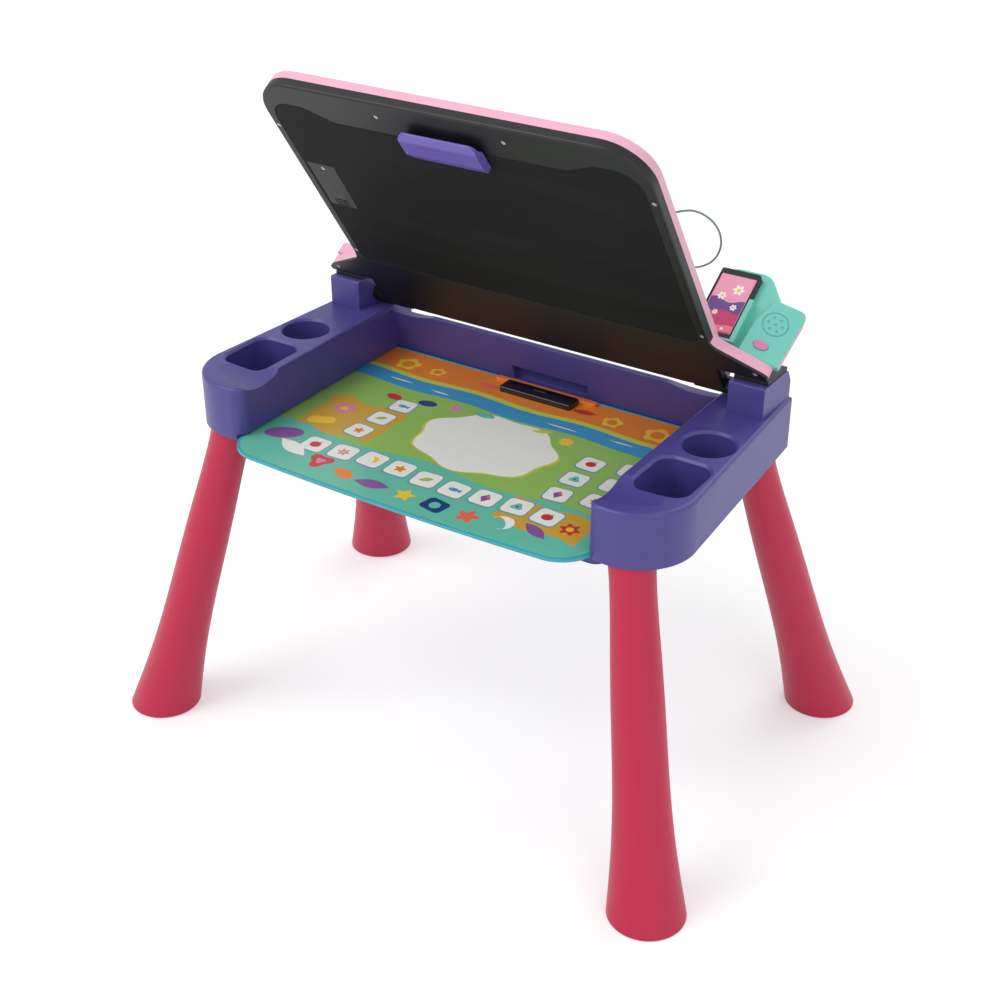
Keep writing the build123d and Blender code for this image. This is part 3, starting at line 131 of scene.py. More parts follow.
def colour_property(name, description, default):
    """A colour that the panel shows, with its default in linear values."""
    return FloatVectorProperty(name=name, description=description, subtype="COLOR", size=3,
                               min=0.0, max=1.0, default=default)


class DeskColours(bpy.types.PropertyGroup):
    """Colours of the mouldings and small parts."""

    violet: colour_property("Base", "Arms, rail and hinge posts", srgb(76, 67, 140))
    crimson: colour_property("Legs", "The four legs", srgb(194, 28, 68))
    pink: colour_property("Lid", "Light side of the lid", srgb(240, 180, 204))
    mint: colour_property("Pod", "Phone cradle, pod and stylus", srgb(122, 212, 196))
    orchid: colour_property("Button", "Button on the pod", srgb(222, 136, 176))
    lilac: colour_property("Clip", "Paper clip on the chalkboard", srgb(116, 98, 190))
    amber: colour_property("Clip bar", "Bar at the back of the picture board", srgb(240, 128, 40))
    slate: colour_property("Chalkboard", "Matt writing surface", srgb(22, 22, 23))
    black: colour_property("Black", "Satin and glossy black mouldings", srgb(15, 15, 16))
    teal: colour_property("Board", "Edge of the picture board", srgb(64, 170, 188))


class DeskSizes(bpy.types.PropertyGroup):
    """Sizes of the finish and of the printed sheets."""

    grain: FloatProperty(name="Grain", description="Size of the moulded grain", unit="LENGTH",
                         default=0.0008, min=0.0001, max=0.01)
    edge: FloatProperty(name="Edge", description="Width of the softened edges", unit="LENGTH",
                        default=0.0008, min=0.0, max=0.005)
    tile: FloatProperty(name="Tile", description="Side of a picture tile on the board", unit="LENGTH",
                        default=0.027, min=0.01, max=0.06)
    tiles: IntProperty(name="Tiles", description="Picture tiles in the front row", default=9, min=3, max=12)
    floor: FloatProperty(name="Floor", description="Radius of the floor", unit="LENGTH",
                         default=14.0, min=2.0, max=40.0)


# Nodes and materials


def socket_in(tree, name, kind, default):
    """One named input of a node group."""
    made = tree.interface.new_socket(name=name, in_out="INPUT", socket_type=kind)
    made.default_value = default


def node(tree, kind, inputs=None, **settings):
    """One node, with its settings and the values or links of its inputs."""
    made = tree.nodes.new(kind)
    for key, value in settings.items():
        setattr(made, key, value)
    for key, value in (inputs or {}).items():
        if isinstance(value, bpy.types.NodeSocket):
            tree.links.new(value, made.inputs[key])
        else:
            made.inputs[key].default_value = value
    return made


def math_node(tree, operation, first, second=0.5, clamp=False):
    """Output of a Math node on two values or links."""
    made = node(tree, "ShaderNodeMath", {0: first, 1: second}, operation=operation, use_clamp=clamp)
    return made.outputs[0]


def scaled(tree, value, start, gain, clamp=False):
    """(value - start) times gain, held between 0 and 1 where clamp is set."""
    return math_node(tree, "MULTIPLY", math_node(tree, "SUBTRACT", value, start), gain, clamp)


def noise(tree, place, scale, detail=2.0, distortion=0.0):
    """Values of a Noise texture."""
    return node(tree, "ShaderNodeTexNoise", {"Vector": place, "Scale": scale, "Detail": detail,
                                             "Distortion": distortion}).outputs["Fac"]


def mix_colour(tree, factor, first, second):
    """Output of a colour Mix node."""
    made = node(tree, "ShaderNodeMix", {"Factor": factor}, data_type="RGBA")
    for key, value in ((6, first), (7, second)):
        if isinstance(value, bpy.types.NodeSocket):
            tree.links.new(value, made.inputs[key])
        else:
            made.inputs[key].default_value = (*value[:3], 1.0)
    return made.outputs[2]


def blank_material(name):
    """A new material with its tree and its Principled shader."""
    material = bpy.data.materials.new(name)
    material.use_nodes = True
    return material, material.node_tree, material.node_tree.nodes["Principled BSDF"]


def moulded_group():
    """Surface of a moulded part: fine grain, slow changes of tone, edges painted paler as a highlight and as
    rubbed wear, and small scuffs.
    """
    tree = bpy.data.node_groups.new("Moulded surface", "ShaderNodeTree")
    socket_in(tree, "Colour", "NodeSocketColor", (0.5, 0.5, 0.5, 1.0))
    for name, default in (("Roughness", 0.4), ("Grain per metre", 1200.0), ("Grain depth", 0.00004),
                          ("Tone change", 0.06), ("Edge width", 0.0008), ("Edge highlight and wear", 0.5), ("Scuffs", 0.1)):
        socket_in(tree, name, "NodeSocketFloat", default)
    for name, kind in (("Colour", "Color"), ("Roughness", "Float"), ("Normal", "Vector")):
        tree.interface.new_socket(name=name, in_out="OUTPUT", socket_type="NodeSocket" + kind)
    given = node(tree, "NodeGroupInput").outputs
    place = node(tree, "ShaderNodeTexCoord").outputs["Object"]
    grain = noise(tree, place, given["Grain per metre"])
    cloud = noise(tree, place, 9.0, 3.0)
    stretched = node(tree, "ShaderNodeMapping", {"Vector": place, "Rotation": (0.5, 0.3, 0.7),
                                                 "Scale": (30.0, 420.0, 420.0)}).outputs[0]
    streak = noise(tree, stretched, 1.0, 1.0)
    scuff = math_node(tree, "MULTIPLY", scaled(tree, streak, 0.68, 9.0, True), given["Scuffs"])
    soft = node(tree, "ShaderNodeBevel", {"Radius": given["Edge width"]}, samples=4).outputs[0]
    flat = node(tree, "ShaderNodeNewGeometry").outputs["Normal"]
    agree = node(tree, "ShaderNodeVectorMath", {0: soft, 1: flat}, operation="DOT_PRODUCT").outputs["Value"]
    # Painted highlight and wear: where the softened normal turns away from the flat one, the colour is mixed
    # towards a paler copy
    edge = math_node(tree, "MULTIPLY", scaled(tree, agree, 0.995, -4.0, True), given["Edge highlight and wear"])
    tone = math_node(tree, "ADD", 1.0, scaled(tree, cloud, 0.5, given["Tone change"]))
    base = node(tree, "ShaderNodeHueSaturation", {"Color": given["Colour"], "Value": tone}).outputs[0]
    # The paler copy serves both the painted edge highlight and the scuffs
    pale = node(tree, "ShaderNodeHueSaturation", {"Color": given["Colour"], "Value": 1.7,
                                                  "Saturation": 0.75}).outputs[0]
    lit = mix_colour(tree, math_node(tree, "ADD", edge, scuff, True), base, pale)
    rough = math_node(tree, "ADD", given["Roughness"], scaled(tree, cloud, 0.5, 0.16))
    rough = math_node(tree, "ADD", rough, math_node(tree, "MULTIPLY", scuff, 0.5), True)
    bump = node(tree, "ShaderNodeBump", {"Height": grain, "Distance": given["Grain depth"], "Normal": soft})
    node(tree, "NodeGroupOutput", {"Colour": lit, "Roughness": rough, "Normal": bump.outputs[0]})
    return tree


# The edge light value sets how much paler the edges are painted, as a highlight and as wear
def shell_material(name, group, colour, rough, coat=0.0, metal=0.0, scuffs=0.1, edge_highlight_and_wear=0.45,
                   depth=0.00004, tone=0.06, painted=None, side=None):
    """A solid material that takes its surface from the shared group.

    Its colour is one value, or a painted attribute, or has a second colour on faces that look across.
    """
    sizes = bpy.context.scene.desk_sizes
    material, tree, shader = blank_material(name)
    shader.inputs["Metallic"].default_value = metal
    shader.inputs["Coat Weight"].default_value = coat
    shader.inputs["Coat Roughness"].default_value = 0.08
    surface = node(tree, "ShaderNodeGroup", {
        "Colour": (*colour, 1.0), "Roughness": rough, "Grain per metre": 1.0 / sizes.grain,
        "Grain depth": depth, "Tone change": tone, "Edge width": sizes.edge, "Edge highlight and wear": edge_highlight_and_wear,
        "Scuffs": scuffs}, node_tree=group)
    if painted:
        print_colour = node(tree, "ShaderNodeAttribute", attribute_name=painted).outputs["Color"]
        tree.links.new(print_colour, surface.inputs["Colour"])
    if side:
        normal = node(tree, "ShaderNodeNewGeometry").outputs["Normal"]
        aside = node(tree, "ShaderNodeSeparateXYZ", {0: normal}).outputs["X"]
        aside = scaled(tree, aside, 0.6, 12.0, True)
        tree.links.new(mix_colour(tree, aside, colour, side), surface.inputs["Colour"])
    for output, target in (("Colour", "Base Color"), ("Roughness", "Roughness"), ("Normal", "Normal")):
        tree.links.new(surface.outputs[output], shader.inputs[target])
    material.diffuse_color = (*colour, 1.0)
    return material


def chalk_material(colour):
    """Matt slate: pale dust wiped across it, and a faint tooth."""
    material, tree, shader = blank_material("Wiped slate")
    place = node(tree, "ShaderNodeTexCoord").outputs["Object"]
    swept = node(tree, "ShaderNodeMapping", {"Vector": place, "Rotation": (0.98, 0.0, 0.25),
                                             "Scale": (4.0, 22.0, 22.0)}).outputs[0]
    wipe = noise(tree, swept, 1.0, 6.0, 1.2)
    tooth = noise(tree, place, 1800.0)
    dust = math_node(tree, "MULTIPLY", scaled(tree, wipe, 0.42, 1.6, True), 0.05)
    tree.links.new(mix_colour(tree, dust, colour, srgb(150, 152, 150)), shader.inputs["Base Color"])
    rough = math_node(tree, "ADD", 0.62, math_node(tree, "MULTIPLY", wipe, 0.2))
    tree.links.new(rough, shader.inputs["Roughness"])
    bump = node(tree, "ShaderNodeBump", {"Height": tooth, "Distance": 0.00005, "Strength": 0.6})
    tree.links.new(bump.outputs[0], shader.inputs["Normal"])
    shader.inputs["Specular IOR Level"].default_value = 0.2
    material.diffuse_color = (*colour, 1.0)
    return material


def floor_material():
    """Pale floor that shows white to the camera and in reflections, and keeps its shadows."""
    material, tree, shader = blank_material("Pale floor")
    place = node(tree, "ShaderNodeTexCoord").outputs["Object"]
    cloud = noise(tree, place, 1.5)
    shade = mix_colour(tree, cloud, (0.78, 0.78, 0.785), (0.80, 0.80, 0.80))
    tree.links.new(shade, shader.inputs["Base Color"])
    shader.inputs["Roughness"].default_value = 0.6
    shader.inputs["Specular IOR Level"].default_value = 0.2
    ray = node(tree, "ShaderNodeLightPath").outputs
    seen = math_node(tree, "MAXIMUM", ray["Is Camera Ray"], ray["Is Glossy Ray"])
    seen = math_node(tree, "MAXIMUM", seen, ray["Is Transmission Ray"])
    away = node(tree, "ShaderNodeVectorMath", {0: place}, operation="LENGTH").outputs["Value"]
    far = scaled(tree, away, 1.2, 0.3, True)
    lift = math_node(tree, "ADD", FLOOR_GLOW, math_node(tree, "MULTIPLY", far, FLOOR_FAR_GLOW))
    glow = node(tree, "ShaderNodeEmission", {"Color": (1, 1, 1, 1),
                                             "Strength": math_node(tree, "MULTIPLY", seen, lift)})
    both = node(tree, "ShaderNodeAddShader", {0: shader.outputs[0], 1: glow.outputs[0]})
    tree.links.new(both.outputs[0], tree.nodes["Material Output"].inputs["Surface"])
    return material


# Objects and meshes


def linked(name, data):
    """A new object that holds this data, in the scene."""
    made = bpy.data.objects.new(name, data)
    bpy.context.scene.collection.objects.link(made)
    return made


def aimed(name, data, at, aim):
    """A new lamp or camera at a place, looking at an aim."""
    made = linked(name, data)
    made.location = at
    made.rotation_euler = (aim - Vector(at)).to_track_quat("-Z", "Y").to_euler()
    return made


def lid_place(points):
    """Row-frame metres of (x, v, w) millimetres: hinge + x across + v along + (w - lift) up."""
    points = np.asarray(points, float)
    placed = (HINGE + points[..., :1] * ACROSS + points[..., 1:2] * ALONG
              + (points[..., 2:3] - HINGE_LIFT) * UP)
    return placed * MM


def flat_place(points):
    """Row-frame metres of plain (x, y, z) millimetres."""
    return np.asarray(points, float) * MM


def shifted(place, order, shift):
    """A place that first takes the columns in this order and adds a shift."""
    return lambda points: place(np.asarray(points, float)[:, order] + shift)


def piece(name, verts, faces, material, body, smooth=True):
    """A mesh object from arrays of vertices and faces, with its material, on its body."""
    mesh = bpy.data.meshes.new(name)
    mesh.from_pydata(np.asarray(verts, float).reshape(-1, 3).tolist(), [], faces)
    mesh.polygons.foreach_set("use_smooth", np.full(len(mesh.polygons), smooth))
    mesh.materials.append(material)
    mesh.update()
    made = linked(name, mesh)
    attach(made, body)
    return made


def counter_clockwise(points):
    """The outline with its inside on the left: reversed where its signed area is negative."""
    points = np.asarray(points, float)
    x, y = points[:, 0], points[:, 1]
    area = np.sum(x * np.roll(y, -1) - np.roll(x, -1) * y)
    return points if area > 0 else points[::-1]


def held_by(outline, points):
    """Which points lie inside: a line to their right crosses the outline an odd number of times."""
    x, y = points[:, :1], points[:, 1:2]
    here, then = outline, np.roll(outline, -1, axis=0)
    rise = then[:, 1] - here[:, 1]
    spans = (here[:, 1] > y) != (then[:, 1] > y)
    meets = here[:, 0] + (y - here[:, 1]) * (then[:, 0] - here[:, 0]) / np.where(rise == 0, 1, rise)
    return np.count_nonzero(spans & (x < meets), axis=1) % 2 == 1


def printed_sheet(name, layers, thick, place, material, body):
    """A thin closed sheet whose top is cut along its printed shapes.

    layers is a list of (outline, colour), the sheet's own outline first and later ones on top.
    Every top triangle takes the colour of the last shape that holds it. The underside repeats
    the top lower down, and a strip joins their rims.
    """
    points, loops, outlines = [], [], []
    for outline, _ in layers:
        outline = counter_clockwise(outline)
        loops.append(list(range(len(points), len(points) + len(outline))))
        points.extend(Vector(p) for p in outline)
        outlines.append(outline)
    verts, _, faces, _, _, _ = delaunay_2d_cdt(points, [], loops, 0, 1e-4)
    flat, faces = np.array([tuple(v) for v in verts]), np.array(faces)
    middles = flat[faces].mean(axis=1)
    on_sheet = held_by(outlines[0], middles)
    faces, middles = faces[on_sheet], middles[on_sheet]
    shade = np.tile(layers[0][1], (len(faces), 1))
    for outline, (_, colour) in zip(outlines[1:], layers[1:]):
        shade[held_by(outline, middles)] = colour
    count = len(flat)
    edges = np.concatenate([faces[:, [0, 1]], faces[:, [1, 2]], faces[:, [2, 0]]])
    keys = edges[:, 0] * count + edges[:, 1]
    back = edges[:, 1] * count + edges[:, 0]
    rim = edges[~np.isin(keys, back)]
    top = np.column_stack([flat, np.full(count, thick)])
    low = np.column_stack([flat, np.zeros(count)])
    strip = np.column_stack([rim[:, 0] + count, rim[:, 1] + count, rim[:, 1], rim[:, 0]])
    all_faces = faces.tolist() + (faces[:, ::-1] + count).tolist() + strip.tolist()
    made = piece(name, place(np.concatenate([top, low])), all_faces, material, body,
                 smooth=False)
    print_layer = made.data.color_attributes.new("print", "FLOAT_COLOR", "CORNER")
    edge_colour = np.array(layers[0][1])
    corner = np.concatenate([np.repeat(shade, 3, axis=0), np.tile(edge_colour, (3 * len(faces), 1)),
                             np.tile(edge_colour, (4 * len(strip), 1))])
    rgba = np.column_stack([corner, np.ones(len(corner))])
    print_layer.data.foreach_set("color", rgba.astype(np.float32).ravel())
    return made


def oval(x, y, wide, tall, turn=0.0, count=40):
    """Points of an ellipse: (wide/2 cos t, tall/2 sin t), turned and moved."""
    t = np.linspace(0, 2 * np.pi, count, endpoint=False)
    return moved(np.column_stack([wide / 2 * np.cos(t), tall / 2 * np.sin(t)]), x, y, turn)


def moved(points, x, y, turn=0.0):
    """Points turned by an angle in degrees and moved to x, y."""
    c, s = math.cos(math.radians(turn)), math.sin(math.radians(turn))
    return np.asarray(points) @ np.array([[c, s], [-s, c]]) + (x, y)


def soft_square(x, y, wide, tall, corner, turn=0.0, count=6):
    """Rectangle with round corners: four quarter circles about points set in by the radius."""
    t = np.linspace(0, np.pi / 2, count)
    arcs = [np.column_stack([sx * (wide / 2 - corner) + corner * np.cos(t + quarter),
                             sy * (tall / 2 - corner) + corner * np.sin(t + quarter)])
            for sx, sy, quarter in ((1, 1, 0), (-1, 1, np.pi / 2), (-1, -1, np.pi), (1, -1, 1.5 * np.pi))]
    return moved(np.concatenate(arcs), x, y, turn)


def petals(x, y, size, lobes, depth, turn=0.0, count=48):
    """Round shape with lobes: r = size (1 - depth + depth cos(lobes t))."""
    t = np.linspace(0, 2 * np.pi, count, endpoint=False)
    r = size * (1 - depth + depth * np.cos(lobes * t))
    return moved(np.column_stack([r * np.cos(t), r * np.sin(t)]), x, y, turn)


def star(x, y, size, tips=5, inner=0.5, turn=90.0):
    """Star: radii alternate between size and inner times size."""
    t = np.arange(2 * tips) * np.pi / tips
    r = np.where(np.arange(2 * tips) % 2 == 0, size, size * inner)
    return moved(np.column_stack([r * np.cos(t), r * np.sin(t)]), x, y, turn)


def leaf(x, y, long, wide, turn=0.0, count=14):
    """Leaf: two arcs y = +-wide/2 sin(pi s) over its length."""
    s = np.linspace(0, 1, count)
    upper = np.column_stack([(s - 0.5) * long, wide / 2 * np.sin(np.pi * s)])
    lower = np.column_stack([(0.5 - s[1:-1]) * long, -wide / 2 * np.sin(np.pi * s[1:-1])])
    return moved(np.concatenate([upper, lower]), x, y, turn)


def wave_band(left, right, low, high, swing, waves, phase=0.0, count=60):
    """Band whose two long sides are sine waves, swing high, with the given number of waves."""
    x = np.linspace(left, right, count)
    ripple = swing * np.sin(2 * np.pi * waves * (x - left) / (right - left) + phase)
    return np.concatenate([np.column_stack([x, low + ripple]), np.column_stack([x, high + ripple])[::-1]])


def crescent(x, y, size, turn=0.0, count=20):
    """Moon: an outer arc and a flatter inner arc between the same tips."""
    t = np.linspace(-0.72 * np.pi, 0.72 * np.pi, count)
    outer = np.column_stack([np.cos(t), np.sin(t)])
    inner = np.column_stack([0.55 * np.cos(t) + outer[0, 0] * 0.45, np.sin(t)])[::-1]
    return moved(np.concatenate([outer, inner[1:-1]]) * size, x, y, turn)


# Prints

WHITE = srgb(246, 246, 240)
ORANGE = srgb(240, 136, 40)
LIME = srgb(206, 212, 84)
BLUE = srgb(66, 158, 208)
GREEN = srgb(152, 196, 98)
SEA = srgb(106, 196, 172)
OCHRE = srgb(214, 168, 62)
PLUM = srgb(142, 88, 160)
ROSE = srgb(232, 134, 170)
RED = srgb(206, 56, 58)
NAVY = srgb(34, 66, 128)
SUN = srgb(250, 204, 52)
TILE_RIM = srgb(120, 160, 172)
CORAL = srgb(240, 108, 92)
CREAM = srgb(252, 224, 200)
LABEL_SKY = srgb(238, 160, 186)
LABEL_HILLS = srgb(104, 74, 140)
LABEL_FIELD = srgb(204, 52, 110)
LABEL_EDGE = srgb(240, 120, 150)


def motif(index, x, y, size):
    """One small picture for a tile: fruit, flower, moon, star, leaf, fish, kite or clover, in turn."""
    kinds = [
        [(oval(x, y, 1.5 * size, 1.4 * size), RED),
         (leaf(x + 0.3 * size, y + 0.75 * size, 0.7 * size, 0.3 * size, 30), GREEN)],
        [(petals(x, y, 0.9 * size, 6, 0.25), ROSE), (oval(x, y, 0.5 * size, 0.5 * size, count=16), SUN)],
        [(crescent(x, y, 0.8 * size, 20), SUN)],
        [(star(x, y, 0.95 * size), ORANGE)],
        [(leaf(x, y, 1.9 * size, 0.9 * size, 35), GREEN), (leaf(x, y, 1.7 * size, 0.10 * size, 35), LIME)],
        [(oval(x - 0.1 * size, y, 1.4 * size, 0.8 * size), BLUE),
         (star(x + 0.75 * size, y, 0.5 * size, 3, 0.5, 180), BLUE),
         (oval(x - 0.45 * size, y + 0.1 * size, 0.14 * size, 0.14 * size, count=10), WHITE)],
        [(np.array([(0, 1), (0.7, 0.1), (0, -1), (-0.7, 0.1)]) * size + (x, y), PLUM),
         (np.array([(0, 1), (0.7, 0.1), (0, 0.1)]) * size + (x, y), CORAL)],
        [(petals(x, y, 0.85 * size, 3, 0.16, 90), SEA), (oval(x, y, 0.35 * size, 0.35 * size, count=14), NAVY)],
    ]
    return kinds[index % len(kinds)]


def picture_tile(index, x, y, side, turn=0.0):
    """A white tile with a grey-blue rim and one motif."""
    rim = [(soft_square(x, y - 0.03 * side, 1.12 * side, 1.14 * side, 0.24 * side, turn), TILE_RIM),
           (soft_square(x, y, side, side, 0.2 * side, turn), WHITE)]
    return rim + motif(index, x, y, 0.3 * side)


def board_edge():
    """Outline of the picture page: straight sides, round front corners and a bowed front."""
    straight = PAGE_HALF - PAGE_CORNER
    t = np.linspace(0, np.pi / 2, 12)
    right = np.column_stack([straight + PAGE_CORNER * np.cos(t),
                             PAGE_FRONT + PAGE_BOW + PAGE_CORNER - PAGE_CORNER * np.sin(t)])
    s = np.linspace(straight, -straight, 40)[1:-1]
    bowed = np.column_stack([s, PAGE_FRONT + PAGE_BOW * (s / straight) ** 2])
    left = right[::-1] * (-1, 1)
    return np.concatenate([[(PAGE_HALF, PAGE_BACK)], right, bowed, left, [(-PAGE_HALF, PAGE_BACK)]])


def board_picture(tile, tiles):
    """Layers of the picture board: a sunset, a stream and a garden, a cloud to draw in, tiles and toys."""
    side = PAGE_HALF - PAGE_MARGIN
    sunset = wave_band(-side, side, 66, 130, 2.5, 3.0, 1.2)
    layers = [(board_edge(), SEA),
              (wave_band(-side, side, -98, 60, 5, 2.5, 0.6), GREEN),
              (wave_band(-side, side, 34, 58, 2.5, 3.0, 1.2), BLUE),
              (wave_band(-side, side, 58, 66, 2.5, 3.0, 1.2), LIME),
              (np.minimum(sunset, (side, PAGE_BACK - 1.5)), ORANGE)]
    for x, y, long in ((-150, 46, 34), (-96, 43, 26), (58, 45, 40), (128, 48, 30), (176, 44, 20)):
        layers.append((leaf(x, y, long, 2.2), WHITE))
    for x, size in ((-168, 15), (-128, 10), (96, 12), (150, 16)):
        layers.append((petals(x, 84, size, 5, 0.12, 20), SUN))
        layers.append((oval(x, 84, size, size, count=24), ORANGE))
    layers.append((wave_band(-186, -92, -96, -20, 4, 1.5, 0.3), OCHRE))
    layers.append((wave_band(96, 190, -150, -104, 3, 1.5, 0.9), OCHRE))
    cloud = petals(12, -30, 80, 7, 0.05, 12, 84) * (1.0, 0.8) + (0, -6)
    layers.append((cloud * (1.04, 1.0) + (0, -1.5), LIME))
    layers.append((cloud, WHITE))
    first = -(tiles - 1) / 2
    for i in range(tiles):
        layers += picture_tile(i, (first + i) * tile * 1.28 + 4, -122 - 3 * math.cos(i * 1.3), tile,
                               4 * math.sin(i * 2.1))
    for i in range(3):
        layers += picture_tile(i + 3, -116 + 3 * i, -76 + i * tile * 1.3, 0.92 * tile, -6 + 5 * i)
        layers += picture_tile(i + 6, 128 - 2 * i, -78 + i * tile * 1.3, 0.92 * tile, 5 - 4 * i)
        layers += picture_tile(i + 1, 166, -70 + i * tile * 1.32, 0.92 * tile, 3 * i - 4)
    loose = [(petals(-160, -44, 14, 6, 0.2), ROSE), (oval(-160, -44, 9, 9, count=16), SUN),
             (soft_square(-164, -78, 30, 15, 6, 24), SUN), (oval(-132, 8, 20, 12, -12), RED),
             (oval(-92, 14, 22, 13, 8), NAVY), (petals(-60, 20, 8, 5, 0.2), ROSE),
             (oval(-24, 24, 22, 10, 4), SEA), (petals(78, 20, 9, 8, 0.15), SUN),
             (leaf(46, 26, 24, 8, 20), LIME), (petals(184, 18, 9, 5, 0.15), ORANGE),
             (oval(-178, -122, 42, 24, 28), PLUM), (leaf(-150, -142, 46, 18, -22), WHITE),
             (petals(-108, -150, 15, 3, 0.2, 30), RED), (petals(-108, -150, 6, 3, 0.2, 30), ROSE),
             (oval(-72, -158, 26, 15, -20), ORANGE), (leaf(-36, -160, 40, 16, 8), PLUM),
             (star(4, -160, 12), SUN), (soft_square(40, -160, 26, 22, 5, -10), NAVY),
             (oval(40, -160, 12, 12, count=16), SEA), (petals(78, -160, 12, 5, 0.22, 14), CORAL),
             (crescent(112, -152, 12, 40), WHITE), (leaf(146, -148, 34, 14, -28), PLUM),
             (petals(172, -128, 11, 6, 0.2), RED), (oval(172, -128, 8, 8, count=14), SUN),
             (star(-12, 90, 7), WHITE), (oval(-60, 86, 26, 9), CORAL), (leaf(60, 88, 30, 10, 6), RED)]
    return layers + loose


def lid_picture():
    """Layers of the sheet on the lid's light side: a ring of picture tiles round a drawing space."""
    middle = SHEET_MIDDLE
    layers = [(soft_square(0, middle, SHEET_WIDE, SHEET_LONG, SHEET_CORNER, count=8), CREAM),
              (soft_square(0, middle, 276, 216, 12), SEA),
              (wave_band(-137, 137, middle - 100, middle - 54, 4, 2.0), BLUE),
              (soft_square(0, middle, 180, 120, 26), LIME),
              (soft_square(0, middle, 172, 112, 24), WHITE)]
    for i in range(6):
        layers += picture_tile(i, -110 + 44 * i, middle + 86, 26, 3 * math.sin(i))
        layers += picture_tile(i + 4, -110 + 44 * i, middle - 86, 26, 3 * math.cos(i))
    for i in range(3):
        layers += picture_tile(i + 2, -112, middle - 40 + 40 * i, 26, 4)
        layers += picture_tile(i + 5, 112, middle - 40 + 40 * i, 26, -4)
    return layers


def phone_picture():
    """Layers of the toy phone's label, as (x, w): a pink sky, two rows of hills, flowers and three dots."""
    mid, low = LABEL_MIDDLE, LABEL_LOW
    left, right = mid - LABEL_WIDE / 2 + 0.6, mid + LABEL_WIDE / 2 - 0.6
    layers = [(soft_square(mid, low + LABEL_TALL / 2, LABEL_WIDE, LABEL_TALL, 1.2), LABEL_SKY),
              (wave_band(left, right, low + 1, low + 38, 2.2, 1.2, 0.5), LABEL_HILLS),
              (wave_band(left, right, low + 1, low + 25, 1.6, 1.6, 2.4), LABEL_FIELD),
              (wave_band(left, right, low + 1, low + 9, 1.0, 1.4, 0.2), LABEL_EDGE)]
    for x, w, size in ((-8, 42, 5.0), (6, 52, 6.5), (9, 31, 4.0), (-7, 22, 3.4)):
        layers.append((petals(mid + x, low + w, size, 6, 0.2), WHITE))
        layers.append((oval(mid + x, low + w, 0.7 * size, 0.7 * size, count=16), SUN))
    for i in range(3):
        layers.append((oval(mid - 8 + 8 * i, low + 5, 3.4, 3.4, count=16), WHITE))
    return layers


def cross_screws(name, spots, tall, material):
    """Round screw heads with a cross recess, at (across, along) on the lid's dark side.

    Each head is a grid of rings: the height is tall (1 - 0.35 r^2), and it drops inside a plus
    shape whose arms are |x| or |y| below a sixth of the radius.
    """
    rings, turns = 14, 48
    r = np.linspace(0, 1, rings)[:, None]
    t = np.linspace(0, 2 * np.pi, turns, endpoint=False)[None, :]
    x, y = r * np.cos(t), r * np.sin(t)
    arm = np.minimum(np.abs(x), np.abs(y))
    plus = (arm < 0.16) & (np.maximum(np.abs(x), np.abs(y)) < 0.68)
    height = tall * (1 - 0.35 * r**2) - np.where(plus, 0.45 * tall, 0.0)
    height = np.concatenate([height, np.zeros((1, turns))])
    x, y = np.concatenate([x, x[-1:]]), np.concatenate([y, y[-1:]])
    row = np.arange(rings)[:, None] * turns
    col = np.arange(turns)[None, :]
    quads = np.stack([row + col, row + turns + col, row + turns + (col + 1) % turns,
                      row + (col + 1) % turns], axis=-1).reshape(-1, 4)
    shape = np.stack([SCREW_RADIUS * x, -SCREW_RADIUS * y, -height], axis=-1).reshape(-1, 3)
    verts = np.concatenate([lid_place(shape + (*spot, SCREW_SEAT)) for spot in spots])
    faces = np.concatenate([quads + len(shape) * index for index in range(len(spots))])
    return piece(name, verts, faces.tolist(), material, "lid", smooth=False)


def dress(names, material):
    """The material on each of these CAD nodes."""
    for name in names:
        held = frame["nodes"][name]
        for index in range(len(held.material_slots)):
            held.material_slots[index].material = material


# The CAD nodes that share a finish
VIOLET_NODES = ("right_arm", "left_arm", "right_arm_base", "left_arm_base", "tray_floor", "rear_rail",
                "right_hinge_post", "left_hinge_post")
LEG_NODES = ("front_right_leg", "front_left_leg", "rear_right_leg", "rear_left_leg")
PINK_NODES = ("lid_shell", "console_housing", "pod_housing", "left_wing_rest")
MINT_NODES = ("phone_cradle", "stylus", "stylus_holder", "volume_slider")
SATIN_NODES = ("lid_back_panel", "battery_door", "right_hinge_cap", "left_hinge_cap", "hinge_washers",
               "speaker")
STEEL_NODES = ("right_hinge_pin", "left_hinge_pin", "clip_pin", "clip_spring", "base_screws", "lid_screws",
               "battery_screw")
RUBBER_NODES = ("front_right_foot_pad", "front_left_foot_pad", "rear_right_foot_pad", "rear_left_foot_pad",
                "tether_grommet")

# Colours of the small parts that the panel leaves out
ZINC = srgb(190, 192, 196)
RUBBER = srgb(46, 46, 50)
LACQUER = srgb(30, 110, 60)
CELL_WRAP = srgb(70, 70, 78)
CORD_GREY = srgb(120, 142, 142)


def material_named(name):
    """A finish that the first operator made."""
    return bpy.data.materials[name]


